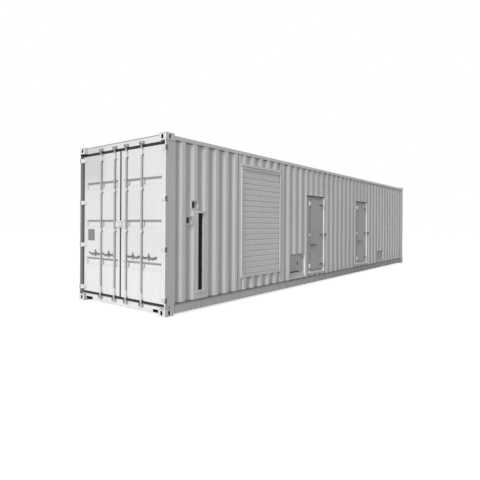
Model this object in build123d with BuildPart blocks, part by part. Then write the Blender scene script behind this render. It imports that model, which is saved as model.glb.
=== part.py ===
from build123d import *
import os

os.makedirs("parts", exist_ok=True)

# All lengths in millimetres. X runs along the container away from the cargo doors,
# Y across it away from the service side, Z up from the ground.
# A size named drop is measured down from the top of the corner fittings.

# Sides of the small round parts that repeat
round_sides = 12
guide_sides = 8

# Overall box of a forty foot high cube
length = 12192
width = 2438
height = 2896

# Corner fittings
fitting_length = 178
fitting_width = 162
fitting_height = 118
fitting_wall = 24
fitting_back = 10
aperture_length = 124
aperture_width = 63.5
aperture_inset_x = 103.5
aperture_inset_y = 89.5
side_hole_width = 51
side_hole_height = 79
side_hole_from_end = 89

# Rails, posts and walls, set in from the faces of the fittings
rail_inset = 8
rail_low = 30
rail_height = 148
rail_web = 8
rail_flange = 50
top_rail_drop = 30
top_rail_size = 60
top_rail_wall = 6
post_length = 210
post_leg = 20
wall_inset = 12
wall_thickness = 96

# Corrugation of the walls
outer_flat = 72
slope_run = 68
inner_flat = 70
wave_depth = 36
wave_margin = 140

# Corrugation of the roof
roof_drop = 16
roof_wave_depth = 20
roof_pitch = 209
roof_flat = 89

# Underframe and floor
floor_thickness = 28
member_count = 22
member_width = 45
member_wall = 6
member_end_gap = 68

# Frame round the cargo doors
header_drop = 3
header_height = 115
header_depth = 62
sill_height = 109
sill_notch_width = 200
sill_notch_rise = 8
sill_notch_height = 42
sill_notch_depth = 60

# Cargo door leaves and their seals
leaf_face_depth = 62
leaf_thickness = 50
leaf_sill_gap = 39
leaf_header_gap = 36
gasket_width = 10
gasket_lip = 30
gasket_side_width = 46
gasket_recess = 4
gasket_thickness = 40
side_gap = 7
centre_gap = 10
stop_gap = 12

# Pressed bands across each cargo door, with bridges behind the lock bars
band_first = 516
band_pitch = 700
band_count = 3
band_height = 122
band_depth = 26
band_draft = 52
band_inner_margin = 112
band_outer_margin = 88
bridge_width = 76
bridge_thickness = 6
bridge_setback = 10

# Cargo door hinges
pin_inset = 12
pin_radius = 7
pin_fit = 0.3
knuckle_radius = 12
hinge_count = 4
hinge_low_margin = 74
hinge_top_margin = 87
hinge_notch_height = 84
hinge_notch_depth = 40
hinge_end_gap = 1
hinge_lug_length = 30
blade_thickness = 12
blade_plate = 9
blade_reach = 75
blade_tip = 52

# Lock bars, their guides, keepers and handles
bar_inner_place = 165
bar_spacing = 413
bar_radius = 17
bar_depth = 40
bar_sill_lap = 54
bar_header_lap = 54
cam_height = 30
cam_reach = 32
cam_width = 24
cam_nose = 7
cam_end_offset = 12
guide_radius = 21.5
guide_clearance = 0.4
guide_foot_width = 70
guide_foot_thickness = 5
guide_height = 52
guide_band_gap = 30
low_guide_height = 134
low_guide_gap = 6
top_guide_height = 110
top_guide_gap = 42
keeper_base = 3
keeper_gap = 41
keeper_ear = 9
keeper_reach = 36
keeper_height = 50
handle_height = 912
handle_width = 26
handle_thickness = 10
handle_bends = ((0, 0), (95, -14), (180, 0), (275, -24), (375, 8))
handle_hub_radius = 19
handle_hub_height = 60
catch_offset = 180
catch_width = 22
catch_gap = 6
catch_plate = 8
catch_reach = 32
centre_plate_lap = 4
centre_plate_height = 120
centre_plate_right = 45
centre_plate_left = 136
centre_plate_thickness = 22

# Louvred shutter in its frame, with a jamb on each side
shutter_gap = 1066
shutter_width = 1405
shutter_low = 430
shutter_head = 236
shutter_member = 30
shutter_foot = 48
shutter_proud = 10
jamb_width = 76
jamb_setback = 8
joint_groove = 28
slat_pitch = 111
slat_setback = 12
slat_groove = 9
slat_groove_height = 10
slat_slope_height = 9
slat_crease = 1.2
slat_thickness = 40
lintel_height = 60
lintel_gap = 14
lintel_proud = 4
sill_strip_height = 15

# Cable slot in its flat surround
slot_from_end = 750
slot_width = 130
slot_low = 334
slot_height = 1312
slot_depth = 46
slot_margin = 40
slot_head = 44
slot_panel_thickness = 6
trim_height = 40
trim_proud = 10

# Gland pockets, each given as its distance before the slot, width, low edge and height
pocket_places = ((306, 166, 1450, 140), (174, 164, 1710, 144))
pocket_rim = 14
pocket_depth = 44
plug_radius = 25
plug_inset = 36
plug_length = 26

# Recesses in the service side
return_thickness = 8
recess_depth = 46

# Connection box with its flap
box_gap = 415
box_width = 710
box_low = 210
box_height = 565
box_sill_rise = 125
box_rim = 26
box_cavity_depth = 38
box_slot_gap = 6
box_slot_height = 26
box_slot_width = 460
box_slot_depth = 36
flap_left_gap = 24
flap_right_gap = 80
flap_low_gap = 10
flap_top_gap = 33
flap_setback = 22
flap_thickness = 17
flap_pin_radius = 4
flap_knuckle_radius = 8
flap_knuckle_length = 40
flap_pin_inset = 14
flap_hinge_inset = 62
flap_strap_reach = 60
flap_strap_thickness = 4
flap_lug_length = 20

# Personnel doors: the second repeats the first further along
door_gap = 65
door_width = 937
door_low = 240
door_height = 1930
door_spacing = 2995
door_sill_rise = 90
leaf_left_gap = 257
leaf_right_gap = 54
leaf_low_gap = 100
leaf_head_gap = 80
door_leaf_setback = 20
door_seal_gap = 5
doorway_lap = 26
plug_clearance = 12
plug_back_gap = 5
door_pin_gap = 30
door_pin_setback = 3
door_hinge_low = 110
door_hinge_top = 140
door_knuckle_radius = 13
door_knuckle_length = 60
door_pin_radius = 5
door_strap_reach = 210
door_strap_tip = 20
door_strap_thickness = 5
hinge_lug_height = 44
hinge_lug_thickness = 12
keeper_block_width = 84
keeper_block_height = 120
small_block_height = 56
keeper_block_rise = 18
keeper_block_corner = 16
keeper_block_margin = 90
lever_inset = 40
lever_rise = 610
rose_radius = 30
rose_thickness = 6
lever_gap = 0.5
lever_neck_radius = 9
lever_neck = 14
lever_length = 215
lever_root_radius = 14
lever_end_radius = 9
lever_thickness = 10
lever_curl = 12
buffer_z = 1205
buffer_radius = 27
buffer_length = 44

# Small grilled hatch
hatch_gap = 873
hatch_width = 655
hatch_low = 295
hatch_height = 290
grille_bars = 7
grille_frame = 22
grille_thickness = 18
grille_bar_height = 20
grille_bar_thickness = 5
grille_bar_angle = 50

# Sizes worked out from those above
half_length = length / 2
half_width = width / 2
fitting_inner_x = half_length - fitting_length
fitting_inner_y = half_width - fitting_width
aperture_x = half_length - aperture_inset_x
aperture_y = half_width - aperture_inset_y
rail_face = half_width - rail_inset
rail_top = rail_low + rail_height
top_rail_low = height - top_rail_drop - top_rail_size
wall_face = half_width - wall_inset
wall_inner = wall_face - wall_thickness
recess_back = wall_face - recess_depth
post_inner_x = half_length - post_length
wave_pitch = outer_flat + 2 * slope_run + inner_flat
header_top = height - header_drop
header_low = header_top - header_height
sill_top = rail_low + sill_height
leaf_face_x = -half_length + leaf_face_depth
leaf_back_x = leaf_face_x + leaf_thickness
leaf_low = sill_top + leaf_sill_gap
leaf_top = header_low - leaf_header_gap
stop_x = leaf_back_x + stop_gap
post_front_inner = rail_face - post_leg
header_x = -half_length + header_depth
pin_x = -half_length + pin_inset
pin_y = -half_width + pin_inset
bar_x = -half_length + bar_depth
gasket_outer_edge = post_front_inner - side_gap
leaf_outer_edge = gasket_outer_edge - gasket_side_width
leaf_inner_edge = centre_gap / 2 + gasket_width
blind_face_x = half_length - wall_inset
blind_inner_x = blind_face_x - wall_thickness
band_low_edges = [leaf_low + band_first + band * band_pitch for band in range(band_count)]
hinge_low = leaf_low + hinge_low_margin
hinge_step = (leaf_top - hinge_top_margin - hinge_low) / (hinge_count - 1)
hinge_heights = [hinge_low + hinge * hinge_step for hinge in range(hinge_count)]
bar_positions = (bar_inner_place, bar_inner_place + bar_spacing)
bar_low = sill_top - bar_sill_lap
bar_top = header_low + bar_header_lap
low_corner = (Align.MIN, Align.MIN, Align.MIN)

# Places along the service side, each from the one before it
slot_left = -half_length + slot_from_end
slot_right = slot_left + slot_width
slot_top = slot_low + slot_height
surround_left = slot_left - slot_margin
surround_right = slot_right + slot_margin
surround_top = slot_top + slot_head
shutter_left = slot_right + shutter_gap
shutter_right = shutter_left + shutter_width
shutter_top = top_rail_low - shutter_head
box_left = shutter_right + box_gap
box_right = box_left + box_width
box_top = box_low + box_height
door_left = box_right + door_gap
door_right = door_left + door_width
door_top = door_low + door_height
hatch_left = door_right + door_spacing + hatch_gap
hatch_right = hatch_left + hatch_width
hatch_top = hatch_low + hatch_height


def wave_start(half_span):
    """Where the first outer flat of a centred run of corrugation starts."""
    waves = (2 * half_span - outer_flat - 2 * wave_margin) // wave_pitch
    return -(waves * wave_pitch + outer_flat) / 2


def wave_at(place, first):
    """Depth of a corrugated skin behind its outer flats, symmetric about zero."""
    if abs(place) > -first:
        return wave_depth * min(1, (abs(place) + first) / slope_run)
    step = (place - first) % wave_pitch
    if step <= outer_flat:
        return 0
    if step <= outer_flat + slope_run:
        return wave_depth * (step - outer_flat) / slope_run
    if step <= outer_flat + slope_run + inner_flat:
        return wave_depth
    return wave_depth * (wave_pitch - step) / slope_run


def wave_breaks(low, high, first):
    """Places between low and high where a corrugated skin bends."""
    breaks = [first - slope_run, slope_run - first]
    start = first
    while start < -first:
        breaks += [start, start + outer_flat]
        if start + wave_pitch < -first:
            breaks += [start + outer_flat + slope_run, start + wave_pitch - slope_run]
        start += wave_pitch
    return sorted(place for place in breaks if low < place < high)


first_flat_x = wave_start(post_inner_x)
first_flat_y = wave_start(wall_inner)


def side_outline(low, high, side):
    """Closed plan outline of a stretch of side wall; side is -1 at the service side."""
    places = [low] + wave_breaks(low, high, first_flat_x) + [high]
    outer = [(x, side * (wall_face - wave_at(x, first_flat_x))) for x in places]
    return outer + [(high, side * wall_inner), (low, side * wall_inner)]


def span_box(x_low, x_high, y_low, y_high, z_low, z_high, mode=Mode.ADD):
    """Box between two corners."""
    with Locations((x_low, y_low, z_low)):
        Box(x_high - x_low, y_high - y_low, z_high - z_low, align=low_corner, mode=mode)


def small_round(x, y, z_low, z_high, radius, mode=Mode.ADD):
    """Faceted pin, knuckle or bore standing between two heights."""
    with BuildSketch(Plane.XY.offset(z_low)) as ring:
        with Locations((x, y)):
            RegularPolygon(radius, round_sides, major_radius=mode is not Mode.SUBTRACT)
    extrude(ring.sketch, amount=z_high - z_low, mode=mode)


def wall_stretch(low, high, z_low, z_high, side=-1):
    """Corrugated side wall between two places along it."""
    with BuildSketch(Plane.XY.offset(z_low)) as plan:
        with BuildLine():
            Polyline(*side_outline(low, high, side), close=True)
        make_face()
    extrude(plan.sketch, amount=z_high - z_low)


# Corner fittings: hollow castings with a slot in the foot and a hole in each outer side
with BuildPart() as bottom_corner_fittings:
    with Locations((-half_length, -half_width, 0)):
        Box(fitting_length, fitting_width, fitting_height, align=low_corner)
    with Locations((-half_length + fitting_wall, -half_width + fitting_wall, fitting_wall)):
        Box(
            fitting_length - fitting_wall - fitting_back,
            fitting_width - fitting_wall - fitting_back,
            fitting_height - 2 * fitting_wall,
            align=low_corner,
            mode=Mode.SUBTRACT,
        )
    with BuildSketch(Plane.XY):
        with Locations((-aperture_x, -aperture_y)):
            SlotOverall(aperture_length, aperture_width)
    extrude(amount=fitting_wall, mode=Mode.SUBTRACT)
    with BuildSketch(Plane.XZ.offset(half_width)):
        with Locations((-half_length + side_hole_from_end, fitting_height / 2)):
            with GridLocations(0, side_hole_height - side_hole_width, 1, 2):
                RegularPolygon(side_hole_width / 2, round_sides)
        make_hull()
    extrude(amount=-fitting_wall, mode=Mode.SUBTRACT)
    with BuildSketch(Plane.YZ.offset(-half_length)):
        with Locations((-half_width + side_hole_from_end, fitting_height / 2)):
            with GridLocations(0, side_hole_height - side_hole_width, 1, 2):
                RegularPolygon(side_hole_width / 2, round_sides)
        make_hull()
    extrude(amount=fitting_wall, mode=Mode.SUBTRACT)
    mirror(about=Plane.YZ)
    mirror(about=Plane.XZ)
bottom_corner_fittings.part.label = "bottom_corner_fittings"
export_step(bottom_corner_fittings.part, "parts/bottom_corner_fittings.step")

with BuildPart() as top_corner_fittings:
    mirror(bottom_corner_fittings.part, about=Plane.XY.offset(height / 2))
top_corner_fittings.part.label = "top_corner_fittings"
export_step(top_corner_fittings.part, "parts/top_corner_fittings.step")

# Side rails: open channels below, square tubes above
with BuildPart() as bottom_side_rails:
    with BuildSketch(Plane.YZ.offset(-fitting_inner_x)):
        with BuildLine():
            Polyline(
                (-rail_face, rail_low),
                (-rail_face + rail_flange, rail_low),
                (-rail_face + rail_flange, rail_low + rail_web),
                (-rail_face + rail_web, rail_low + rail_web),
                (-rail_face + rail_web, rail_top - rail_web),
                (-rail_face + rail_flange, rail_top - rail_web),
                (-rail_face + rail_flange, rail_top),
                (-rail_face, rail_top),
                close=True,
            )
        make_face()
    extrude(amount=2 * fitting_inner_x)
    mirror(about=Plane.XZ)
bottom_side_rails.part.label = "bottom_side_rails"
export_step(bottom_side_rails.part, "parts/bottom_side_rails.step")

top_rail_bore = top_rail_size - 2 * top_rail_wall

with BuildPart() as top_side_rails:
    with BuildSketch(Plane.YZ.offset(-fitting_inner_x)):
        with Locations((-rail_face + top_rail_size / 2, top_rail_low + top_rail_size / 2)):
            Rectangle(top_rail_size, top_rail_size)
            Rectangle(top_rail_bore, top_rail_bore, mode=Mode.SUBTRACT)
    extrude(amount=2 * fitting_inner_x)
    mirror(about=Plane.XZ)
top_side_rails.part.label = "top_side_rails"
export_step(top_side_rails.part, "parts/top_side_rails.step")

# Posts at the cargo doors: a thin front leg, notched for the hinges, and a stop behind the leaves
with BuildPart() as door_end_posts:
    with BuildSketch(Plane.XY.offset(fitting_height)):
        with BuildLine():
            Polyline(
                (-half_length, -rail_face),
                (-fitting_inner_x, -rail_face),
                (-fitting_inner_x, -wall_inner),
                (stop_x, -wall_inner),
                (stop_x, -post_front_inner),
                (-half_length, -post_front_inner),
                close=True,
            )
        make_face()
    extrude(amount=height - 2 * fitting_height)
    span_box(-fitting_inner_x, -post_inner_x, -rail_face, -wall_inner, rail_top, top_rail_low)
    notch_back = -half_length + hinge_notch_depth
    for z in hinge_heights:
        notch_low = z - hinge_notch_height / 2
        notch_high = z + hinge_notch_height / 2
        lug_low = notch_low - hinge_lug_length
        lug_high = notch_high + hinge_lug_length
        small_round(pin_x, pin_y, lug_low, lug_high, knuckle_radius)
        span_box(
            -half_length,
            notch_back,
            -half_width,
            -post_front_inner,
            notch_low,
            notch_high,
            mode=Mode.SUBTRACT,
        )
    mirror(about=Plane.XZ)
door_end_posts.part.label = "door_end_posts"
export_step(door_end_posts.part, "parts/door_end_posts.step")

with BuildPart() as cargo_hinge_pins:
    for z in hinge_heights:
        half_pin = hinge_notch_height / 2
        small_round(pin_x, pin_y, z - half_pin, z + half_pin, pin_radius)
    mirror(about=Plane.XZ)
cargo_hinge_pins.part.label = "cargo_hinge_pins"
export_step(cargo_hinge_pins.part, "parts/cargo_hinge_pins.step")

with BuildPart() as blind_end_posts:
    post_top = height - fitting_height
    span_box(fitting_inner_x, half_length, -rail_face, -wall_inner, fitting_height, post_top)
    span_box(post_inner_x, fitting_inner_x, -rail_face, -wall_inner, rail_top, top_rail_low)
    mirror(about=Plane.XZ)
blind_end_posts.part.label = "blind_end_posts"
export_step(blind_end_posts.part, "parts/blind_end_posts.step")

# Cross rails at the two ends
with BuildPart() as door_header:
    span_box(header_x, -fitting_inner_x, -fitting_inner_y, fitting_inner_y, header_low, header_top)
door_header.part.label = "door_header"
export_step(door_header.part, "parts/door_header.step")

with BuildPart() as door_sill:
    span_box(header_x, -fitting_inner_x, -fitting_inner_y, fitting_inner_y, rail_low, sill_top)
    span_box(header_x, stop_x, -post_front_inner, post_front_inner, fitting_height, sill_top)
    notch_floor = rail_low + sill_notch_rise
    for notch_y in (-fitting_inner_y, fitting_inner_y - sill_notch_width):
        span_box(
            header_x,
            header_x + sill_notch_depth,
            notch_y,
            notch_y + sill_notch_width,
            notch_floor,
            notch_floor + sill_notch_height,
            mode=Mode.SUBTRACT,
        )
door_sill.part.label = "door_sill"
export_step(door_sill.part, "parts/door_sill.step")

with BuildPart() as blind_end_rails:
    for low, high in ((rail_low, rail_top), (height - fitting_height, header_top)):
        span_box(fitting_inner_x, blind_face_x, -fitting_inner_y, fitting_inner_y, low, high)
    span_box(fitting_inner_x, blind_face_x, -wall_inner, wall_inner, fitting_height, rail_top)
blind_end_rails.part.label = "blind_end_rails"
export_step(blind_end_rails.part, "parts/blind_end_rails.step")

# Underframe: channels standing on the lower flanges of the bottom rails
member_low = rail_low + rail_web
member_high = rail_top - floor_thickness
member_half_span = rail_face - rail_web
member_pitch = 2 * (fitting_inner_x - member_end_gap) / (member_count - 1)
member_bore = member_high - member_low - 2 * member_wall

with BuildPart() as cross_members:
    with BuildSketch(Plane.XZ):
        with GridLocations(member_pitch, 0, member_count, 1):
            with Locations((0, (member_low + member_high) / 2)):
                Rectangle(member_width, member_high - member_low)
            with Locations((member_wall, (member_low + member_high) / 2)):
                Rectangle(member_width, member_bore, mode=Mode.SUBTRACT)
    extrude(amount=member_half_span, both=True)
cross_members.part.label = "cross_members"
export_step(cross_members.part, "parts/cross_members.step")

floor_half_width = rail_face - rail_flange

with BuildPart() as floor:
    floor_low = rail_top - floor_thickness
    span_box(-fitting_inner_x, fitting_inner_x, -floor_half_width, floor_half_width, floor_low, rail_top)
floor.part.label = "floor"
export_step(floor.part, "parts/floor.step")

# Roof: a lined panel with corrugations across the container
roof_crown = height - roof_drop
roof_trough = roof_crown - roof_wave_depth
roof_slope = roof_pitch / 2 - roof_flat
roof_waves = int(2 * fitting_inner_x // roof_pitch)
roof_start = -roof_waves * roof_pitch / 2
roof_outline = [(-fitting_inner_x, top_rail_low), (-fitting_inner_x, roof_trough)]
for wave in range(roof_waves):
    start = roof_start + wave * roof_pitch
    roof_outline += [
        (start, roof_trough),
        (start + roof_slope, roof_crown),
        (start + roof_slope + roof_flat, roof_crown),
        (start + 2 * roof_slope + roof_flat, roof_trough),
    ]
roof_outline += [(fitting_inner_x, roof_trough), (fitting_inner_x, top_rail_low)]
roof_half_width = rail_face - top_rail_size

with BuildPart() as roof:
    with BuildSketch(Plane.XZ):
        with BuildLine():
            Polyline(*roof_outline, close=True)
        make_face()
    extrude(amount=roof_half_width, both=True)
roof.part.label = "roof"
export_step(roof.part, "parts/roof.step")

# Plain corrugated walls at the back and at the blind end
with BuildPart() as back_wall:
    wall_stretch(-post_inner_x, post_inner_x, rail_top, top_rail_low, side=1)
back_wall.part.label = "back_wall"
export_step(back_wall.part, "parts/back_wall.step")

end_places = [-wall_inner] + wave_breaks(-wall_inner, wall_inner, first_flat_y) + [wall_inner]
end_outline = [(blind_face_x - wave_at(y, first_flat_y), y) for y in end_places]
end_outline += [(blind_inner_x, wall_inner), (blind_inner_x, -wall_inner)]

with BuildPart() as end_wall:
    with BuildSketch(Plane.XY.offset(rail_top)):
        with BuildLine():
            Polyline(*end_outline, close=True)
        make_face()
    extrude(amount=height - fitting_height - rail_top)
end_wall.part.label = "end_wall"
export_step(end_wall.part, "parts/end_wall.step")

# Service side wall, split round what is let into it
jamb_face = wall_face - jamb_setback
valley_face = wall_face - wave_depth
jamb_left = shutter_left - jamb_width
jamb_right = shutter_right + jamb_width
pocket_spans = [
    (slot_left - before, slot_left - before + wide, low, low + tall)
    for before, wide, low, tall in pocket_places
]
bay_left = door_left - return_thickness
bay_right = door_right + return_thickness
bay_low = door_low - return_thickness
bay_top = door_top + return_thickness
housing_left = box_left - return_thickness
housing_right = box_right + return_thickness
housing_low = box_low - return_thickness
housing_top = box_top + return_thickness
hatch_box_left = hatch_left - return_thickness
hatch_box_right = hatch_right + return_thickness
hatch_box_low = hatch_low - return_thickness
hatch_box_top = hatch_top + return_thickness


def wall_cut(left, right, low, high, inner=wall_inner):
    """Opening or groove in the service side wall."""
    span_box(left, right, -half_width, -inner, low, high, mode=Mode.SUBTRACT)


with BuildPart() as service_wall_near:
    wall_stretch(-post_inner_x, jamb_left, rail_top, top_rail_low)
    wall_cut(jamb_left - joint_groove, jamb_left, rail_top, top_rail_low, inner=valley_face)
    span_box(jamb_left, shutter_left, -jamb_face, -wall_inner, rail_top, top_rail_low)
    wall_cut(surround_left, surround_right, rail_top, surround_top)
    for left, right, low, high in pocket_spans:
        wall_cut(left, right, low, high)
service_wall_near.part.label = "service_wall_near"
export_step(service_wall_near.part, "parts/service_wall_near.step")

lintel_low = shutter_top + lintel_gap
lintel_top = lintel_low + lintel_height
lintel_face = wall_face + lintel_proud
strip_low = shutter_low - sill_strip_height

with BuildPart() as shutter_wall_bands:
    wall_stretch(shutter_left, shutter_right, lintel_top, top_rail_low)
    span_box(shutter_left, shutter_right, -lintel_face, -wall_inner, lintel_low, lintel_top)
    span_box(shutter_left, shutter_right, -valley_face, -wall_inner, shutter_top, lintel_low)
    wall_stretch(shutter_left, shutter_right, rail_top, strip_low)
    span_box(shutter_left, shutter_right, -lintel_face, -wall_inner, strip_low, shutter_low)
shutter_wall_bands.part.label = "shutter_wall_bands"
export_step(shutter_wall_bands.part, "parts/shutter_wall_bands.step")

with BuildPart() as service_wall_box:
    wall_stretch(jamb_right, bay_left, rail_top, top_rail_low)
    wall_cut(jamb_right, jamb_right + joint_groove, rail_top, top_rail_low, inner=valley_face)
    span_box(shutter_right, jamb_right, -jamb_face, -wall_inner, rail_top, top_rail_low)
    wall_cut(housing_left, housing_right, housing_low, housing_top)
service_wall_box.part.label = "service_wall_box"
export_step(service_wall_box.part, "parts/service_wall_box.step")

with BuildPart() as service_wall_middle:
    wall_stretch(bay_right, bay_left + door_spacing, rail_top, top_rail_low)
service_wall_middle.part.label = "service_wall_middle"
export_step(service_wall_middle.part, "parts/service_wall_middle.step")

with BuildPart() as service_wall_far:
    wall_stretch(bay_right + door_spacing, post_inner_x, rail_top, top_rail_low)
    wall_cut(hatch_box_left, hatch_box_right, hatch_box_low, hatch_box_top)
service_wall_far.part.label = "service_wall_far"
export_step(service_wall_far.part, "parts/service_wall_far.step")

with BuildPart() as door_wall_bands:
    for shift in (0, door_spacing):
        wall_stretch(bay_left + shift, bay_right + shift, bay_top, top_rail_low)
        wall_stretch(bay_left + shift, bay_right + shift, rail_top, bay_low)
door_wall_bands.part.label = "door_wall_bands"
export_step(door_wall_bands.part, "parts/door_wall_bands.step")

# Louvred shutter
shutter_face = wall_face + shutter_proud
opening_left = shutter_left + shutter_member
opening_right = shutter_right - shutter_member
opening_low = shutter_low + shutter_foot
opening_top = shutter_top - shutter_member
slat_count = int((opening_top - opening_low) // slat_pitch)
slat_face = wall_face - slat_setback

with BuildPart() as shutter_frame:
    span_box(shutter_left, shutter_right, -shutter_face, -wall_inner, shutter_low, shutter_top)
    wall_cut(opening_left, opening_right, opening_low, opening_top)
shutter_frame.part.label = "shutter_frame"
export_step(shutter_frame.part, "parts/shutter_frame.step")

slat_outline = []
for slat in range(slat_count):
    low = opening_low + slat * slat_pitch
    crown_low = low + slat_groove_height + slat_slope_height
    crown_high = low + slat_pitch - slat_slope_height
    crease = (crown_low + crown_high) / 2
    slat_outline += [
        (-slat_face + slat_groove, low),
        (-slat_face + slat_groove, low + slat_groove_height),
        (-slat_face, crown_low),
        (-slat_face, crease - slat_crease),
        (-slat_face + slat_crease, crease),
        (-slat_face, crease + slat_crease),
        (-slat_face, crown_high),
    ]
slat_outline += [
    (-slat_face + slat_groove, opening_top),
    (-slat_face + slat_thickness, opening_top),
    (-slat_face + slat_thickness, opening_low),
]

with BuildPart() as shutter_slats:
    with BuildSketch(Plane.YZ.offset(opening_left)):
        with BuildLine():
            Polyline(*slat_outline, close=True)
        make_face()
    extrude(amount=opening_right - opening_left)
shutter_slats.part.label = "shutter_slats"
export_step(shutter_slats.part, "parts/shutter_slats.step")

# Cable slot: a flat surround with a trim over and under the slot and a dark panel at its back
slot_back = -wall_face + slot_depth
trim_face = wall_face + trim_proud

with BuildPart() as slot_surround:
    span_box(surround_left, surround_right, -wall_face, -wall_inner, rail_top, surround_top)
    for trim_low in (slot_top, slot_low - trim_height):
        span_box(surround_left, surround_right, -trim_face, -wall_face, trim_low, trim_low + trim_height)
    span_box(slot_left, slot_right, -wall_face, slot_back, slot_low, slot_top, mode=Mode.SUBTRACT)
slot_surround.part.label = "slot_surround"
export_step(slot_surround.part, "parts/slot_surround.step")

with BuildPart() as slot_panel:
    span_box(slot_left, slot_right, slot_back - slot_panel_thickness, slot_back, slot_low, slot_top)
slot_panel.part.label = "slot_panel"
export_step(slot_panel.part, "parts/slot_panel.step")

# Gland pockets beside the slot
with BuildPart() as gland_pockets:
    for left, right, low, high in pocket_spans:
        span_box(left, right, -wall_face, -wall_inner, low, high)
        span_box(
            left + pocket_rim,
            right - pocket_rim,
            -wall_face,
            -wall_face + pocket_depth,
            low + pocket_rim,
            high - pocket_rim,
            mode=Mode.SUBTRACT,
        )
gland_pockets.part.label = "gland_pockets"
export_step(gland_pockets.part, "parts/gland_pockets.step")

with BuildPart() as gland_plugs:
    with BuildSketch(Plane.XZ.offset(wall_face - pocket_depth)):
        for left, right, low, high in pocket_spans:
            with Locations((left + pocket_rim + plug_inset, (low + high) / 2)):
                Circle(plug_radius)
    extrude(amount=plug_length)
gland_plugs.part.label = "gland_plugs"
export_step(gland_plugs.part, "parts/gland_plugs.step")


def recess(left, right, low, high, rise):
    """Pressed recess with a sill that slopes up to its back."""
    with BuildSketch(Plane.YZ.offset(left)) as section:
        with BuildLine():
            Polyline(
                (-half_width, low),
                (-wall_face, low),
                (-recess_back, low + rise),
                (-recess_back, high),
                (-half_width, high),
                close=True,
            )
        make_face()
    extrude(section.sketch, amount=right - left, mode=Mode.SUBTRACT)


# Connection box: recess, cable slot under the flap and a shallow cavity behind it
box_slot_low = box_low + box_sill_rise + box_slot_gap
box_slot_top = box_slot_low + box_slot_height
flap_left = box_left + flap_left_gap
flap_right = box_right - flap_right_gap
flap_low = box_slot_top + flap_low_gap
flap_top = box_top - flap_top_gap
flap_pin_x = box_left + flap_pin_inset
flap_front = -wall_face + flap_setback
flap_hinge_heights = (flap_low + flap_hinge_inset, flap_top - flap_hinge_inset)
flap_half_knuckle = flap_knuckle_length / 2

with BuildPart() as connection_box:
    span_box(housing_left, housing_right, -wall_face, -wall_inner, housing_low, housing_top)
    recess(box_left, box_right, box_low, box_top, box_sill_rise)
    span_box(
        flap_left + box_rim,
        flap_right - box_rim,
        -recess_back,
        -recess_back + box_cavity_depth,
        flap_low + box_rim,
        flap_top - box_rim,
        mode=Mode.SUBTRACT,
    )
    span_box(
        flap_left,
        flap_left + box_slot_width,
        -recess_back,
        -recess_back + box_slot_depth,
        box_slot_low,
        box_slot_top,
        mode=Mode.SUBTRACT,
    )
    for z in flap_hinge_heights:
        lug_top = z - flap_half_knuckle - hinge_end_gap
        lug_low = lug_top - flap_lug_length
        strap_back = flap_front + flap_strap_thickness
        small_round(flap_pin_x, flap_front, lug_low, lug_top, flap_knuckle_radius)
        span_box(box_left, flap_pin_x, flap_front - flap_strap_thickness, strap_back, lug_low, lug_top)
        small_round(flap_pin_x, flap_front, lug_top, z + flap_half_knuckle, flap_pin_radius)
connection_box.part.label = "connection_box"
export_step(connection_box.part, "parts/connection_box.step")

with BuildPart() as connection_flap:
    span_box(flap_left, flap_right, flap_front, flap_front + flap_thickness, flap_low, flap_top)
    for z in flap_hinge_heights:
        low = z - flap_half_knuckle
        high = z + flap_half_knuckle
        strap_right = flap_pin_x + flap_strap_reach
        small_round(flap_pin_x, flap_front, low, high, flap_knuckle_radius)
        span_box(flap_pin_x, strap_right, flap_front - flap_strap_thickness, flap_front, low, high)
        small_round(flap_pin_x, flap_front, low, high, flap_pin_radius + pin_fit, mode=Mode.SUBTRACT)
connection_flap.part.label = "connection_flap"
export_step(connection_flap.part, "parts/connection_flap.step")

# Personnel doors: frames, leaves, lift-off hinges and levers
leaf_left = door_left + leaf_left_gap
leaf_right = door_right - leaf_right_gap
door_leaf_low = door_low + leaf_low_gap
door_leaf_top = door_top - leaf_head_gap
leaf_front = -wall_face + door_leaf_setback
leaf_rear = -recess_back - door_seal_gap
doorway_left = leaf_left + doorway_lap
doorway_right = leaf_right - doorway_lap
doorway_low = door_leaf_low + doorway_lap
doorway_top = door_leaf_top - doorway_lap
door_pin_x = door_right - door_pin_gap
door_pin_y = -wall_face + door_pin_setback
lowest_hinge = door_leaf_low + door_hinge_low
highest_hinge = door_leaf_top - door_hinge_top
door_hinge_heights = (lowest_hinge, (lowest_hinge + highest_hinge) / 2, highest_hinge)
half_knuckle = door_knuckle_length / 2
lever_x = leaf_left + lever_inset
lever_z = door_leaf_low + lever_rise
rose_front = leaf_front - rose_thickness
lever_back = rose_front - lever_gap - lever_neck
block_x = leaf_left - plug_clearance - keeper_block_width / 2
keeper_blocks = (
    (door_leaf_low + keeper_block_margin, keeper_block_height),
    (door_hinge_heights[1], small_block_height),
    (door_leaf_top - keeper_block_height, keeper_block_height),
)

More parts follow.
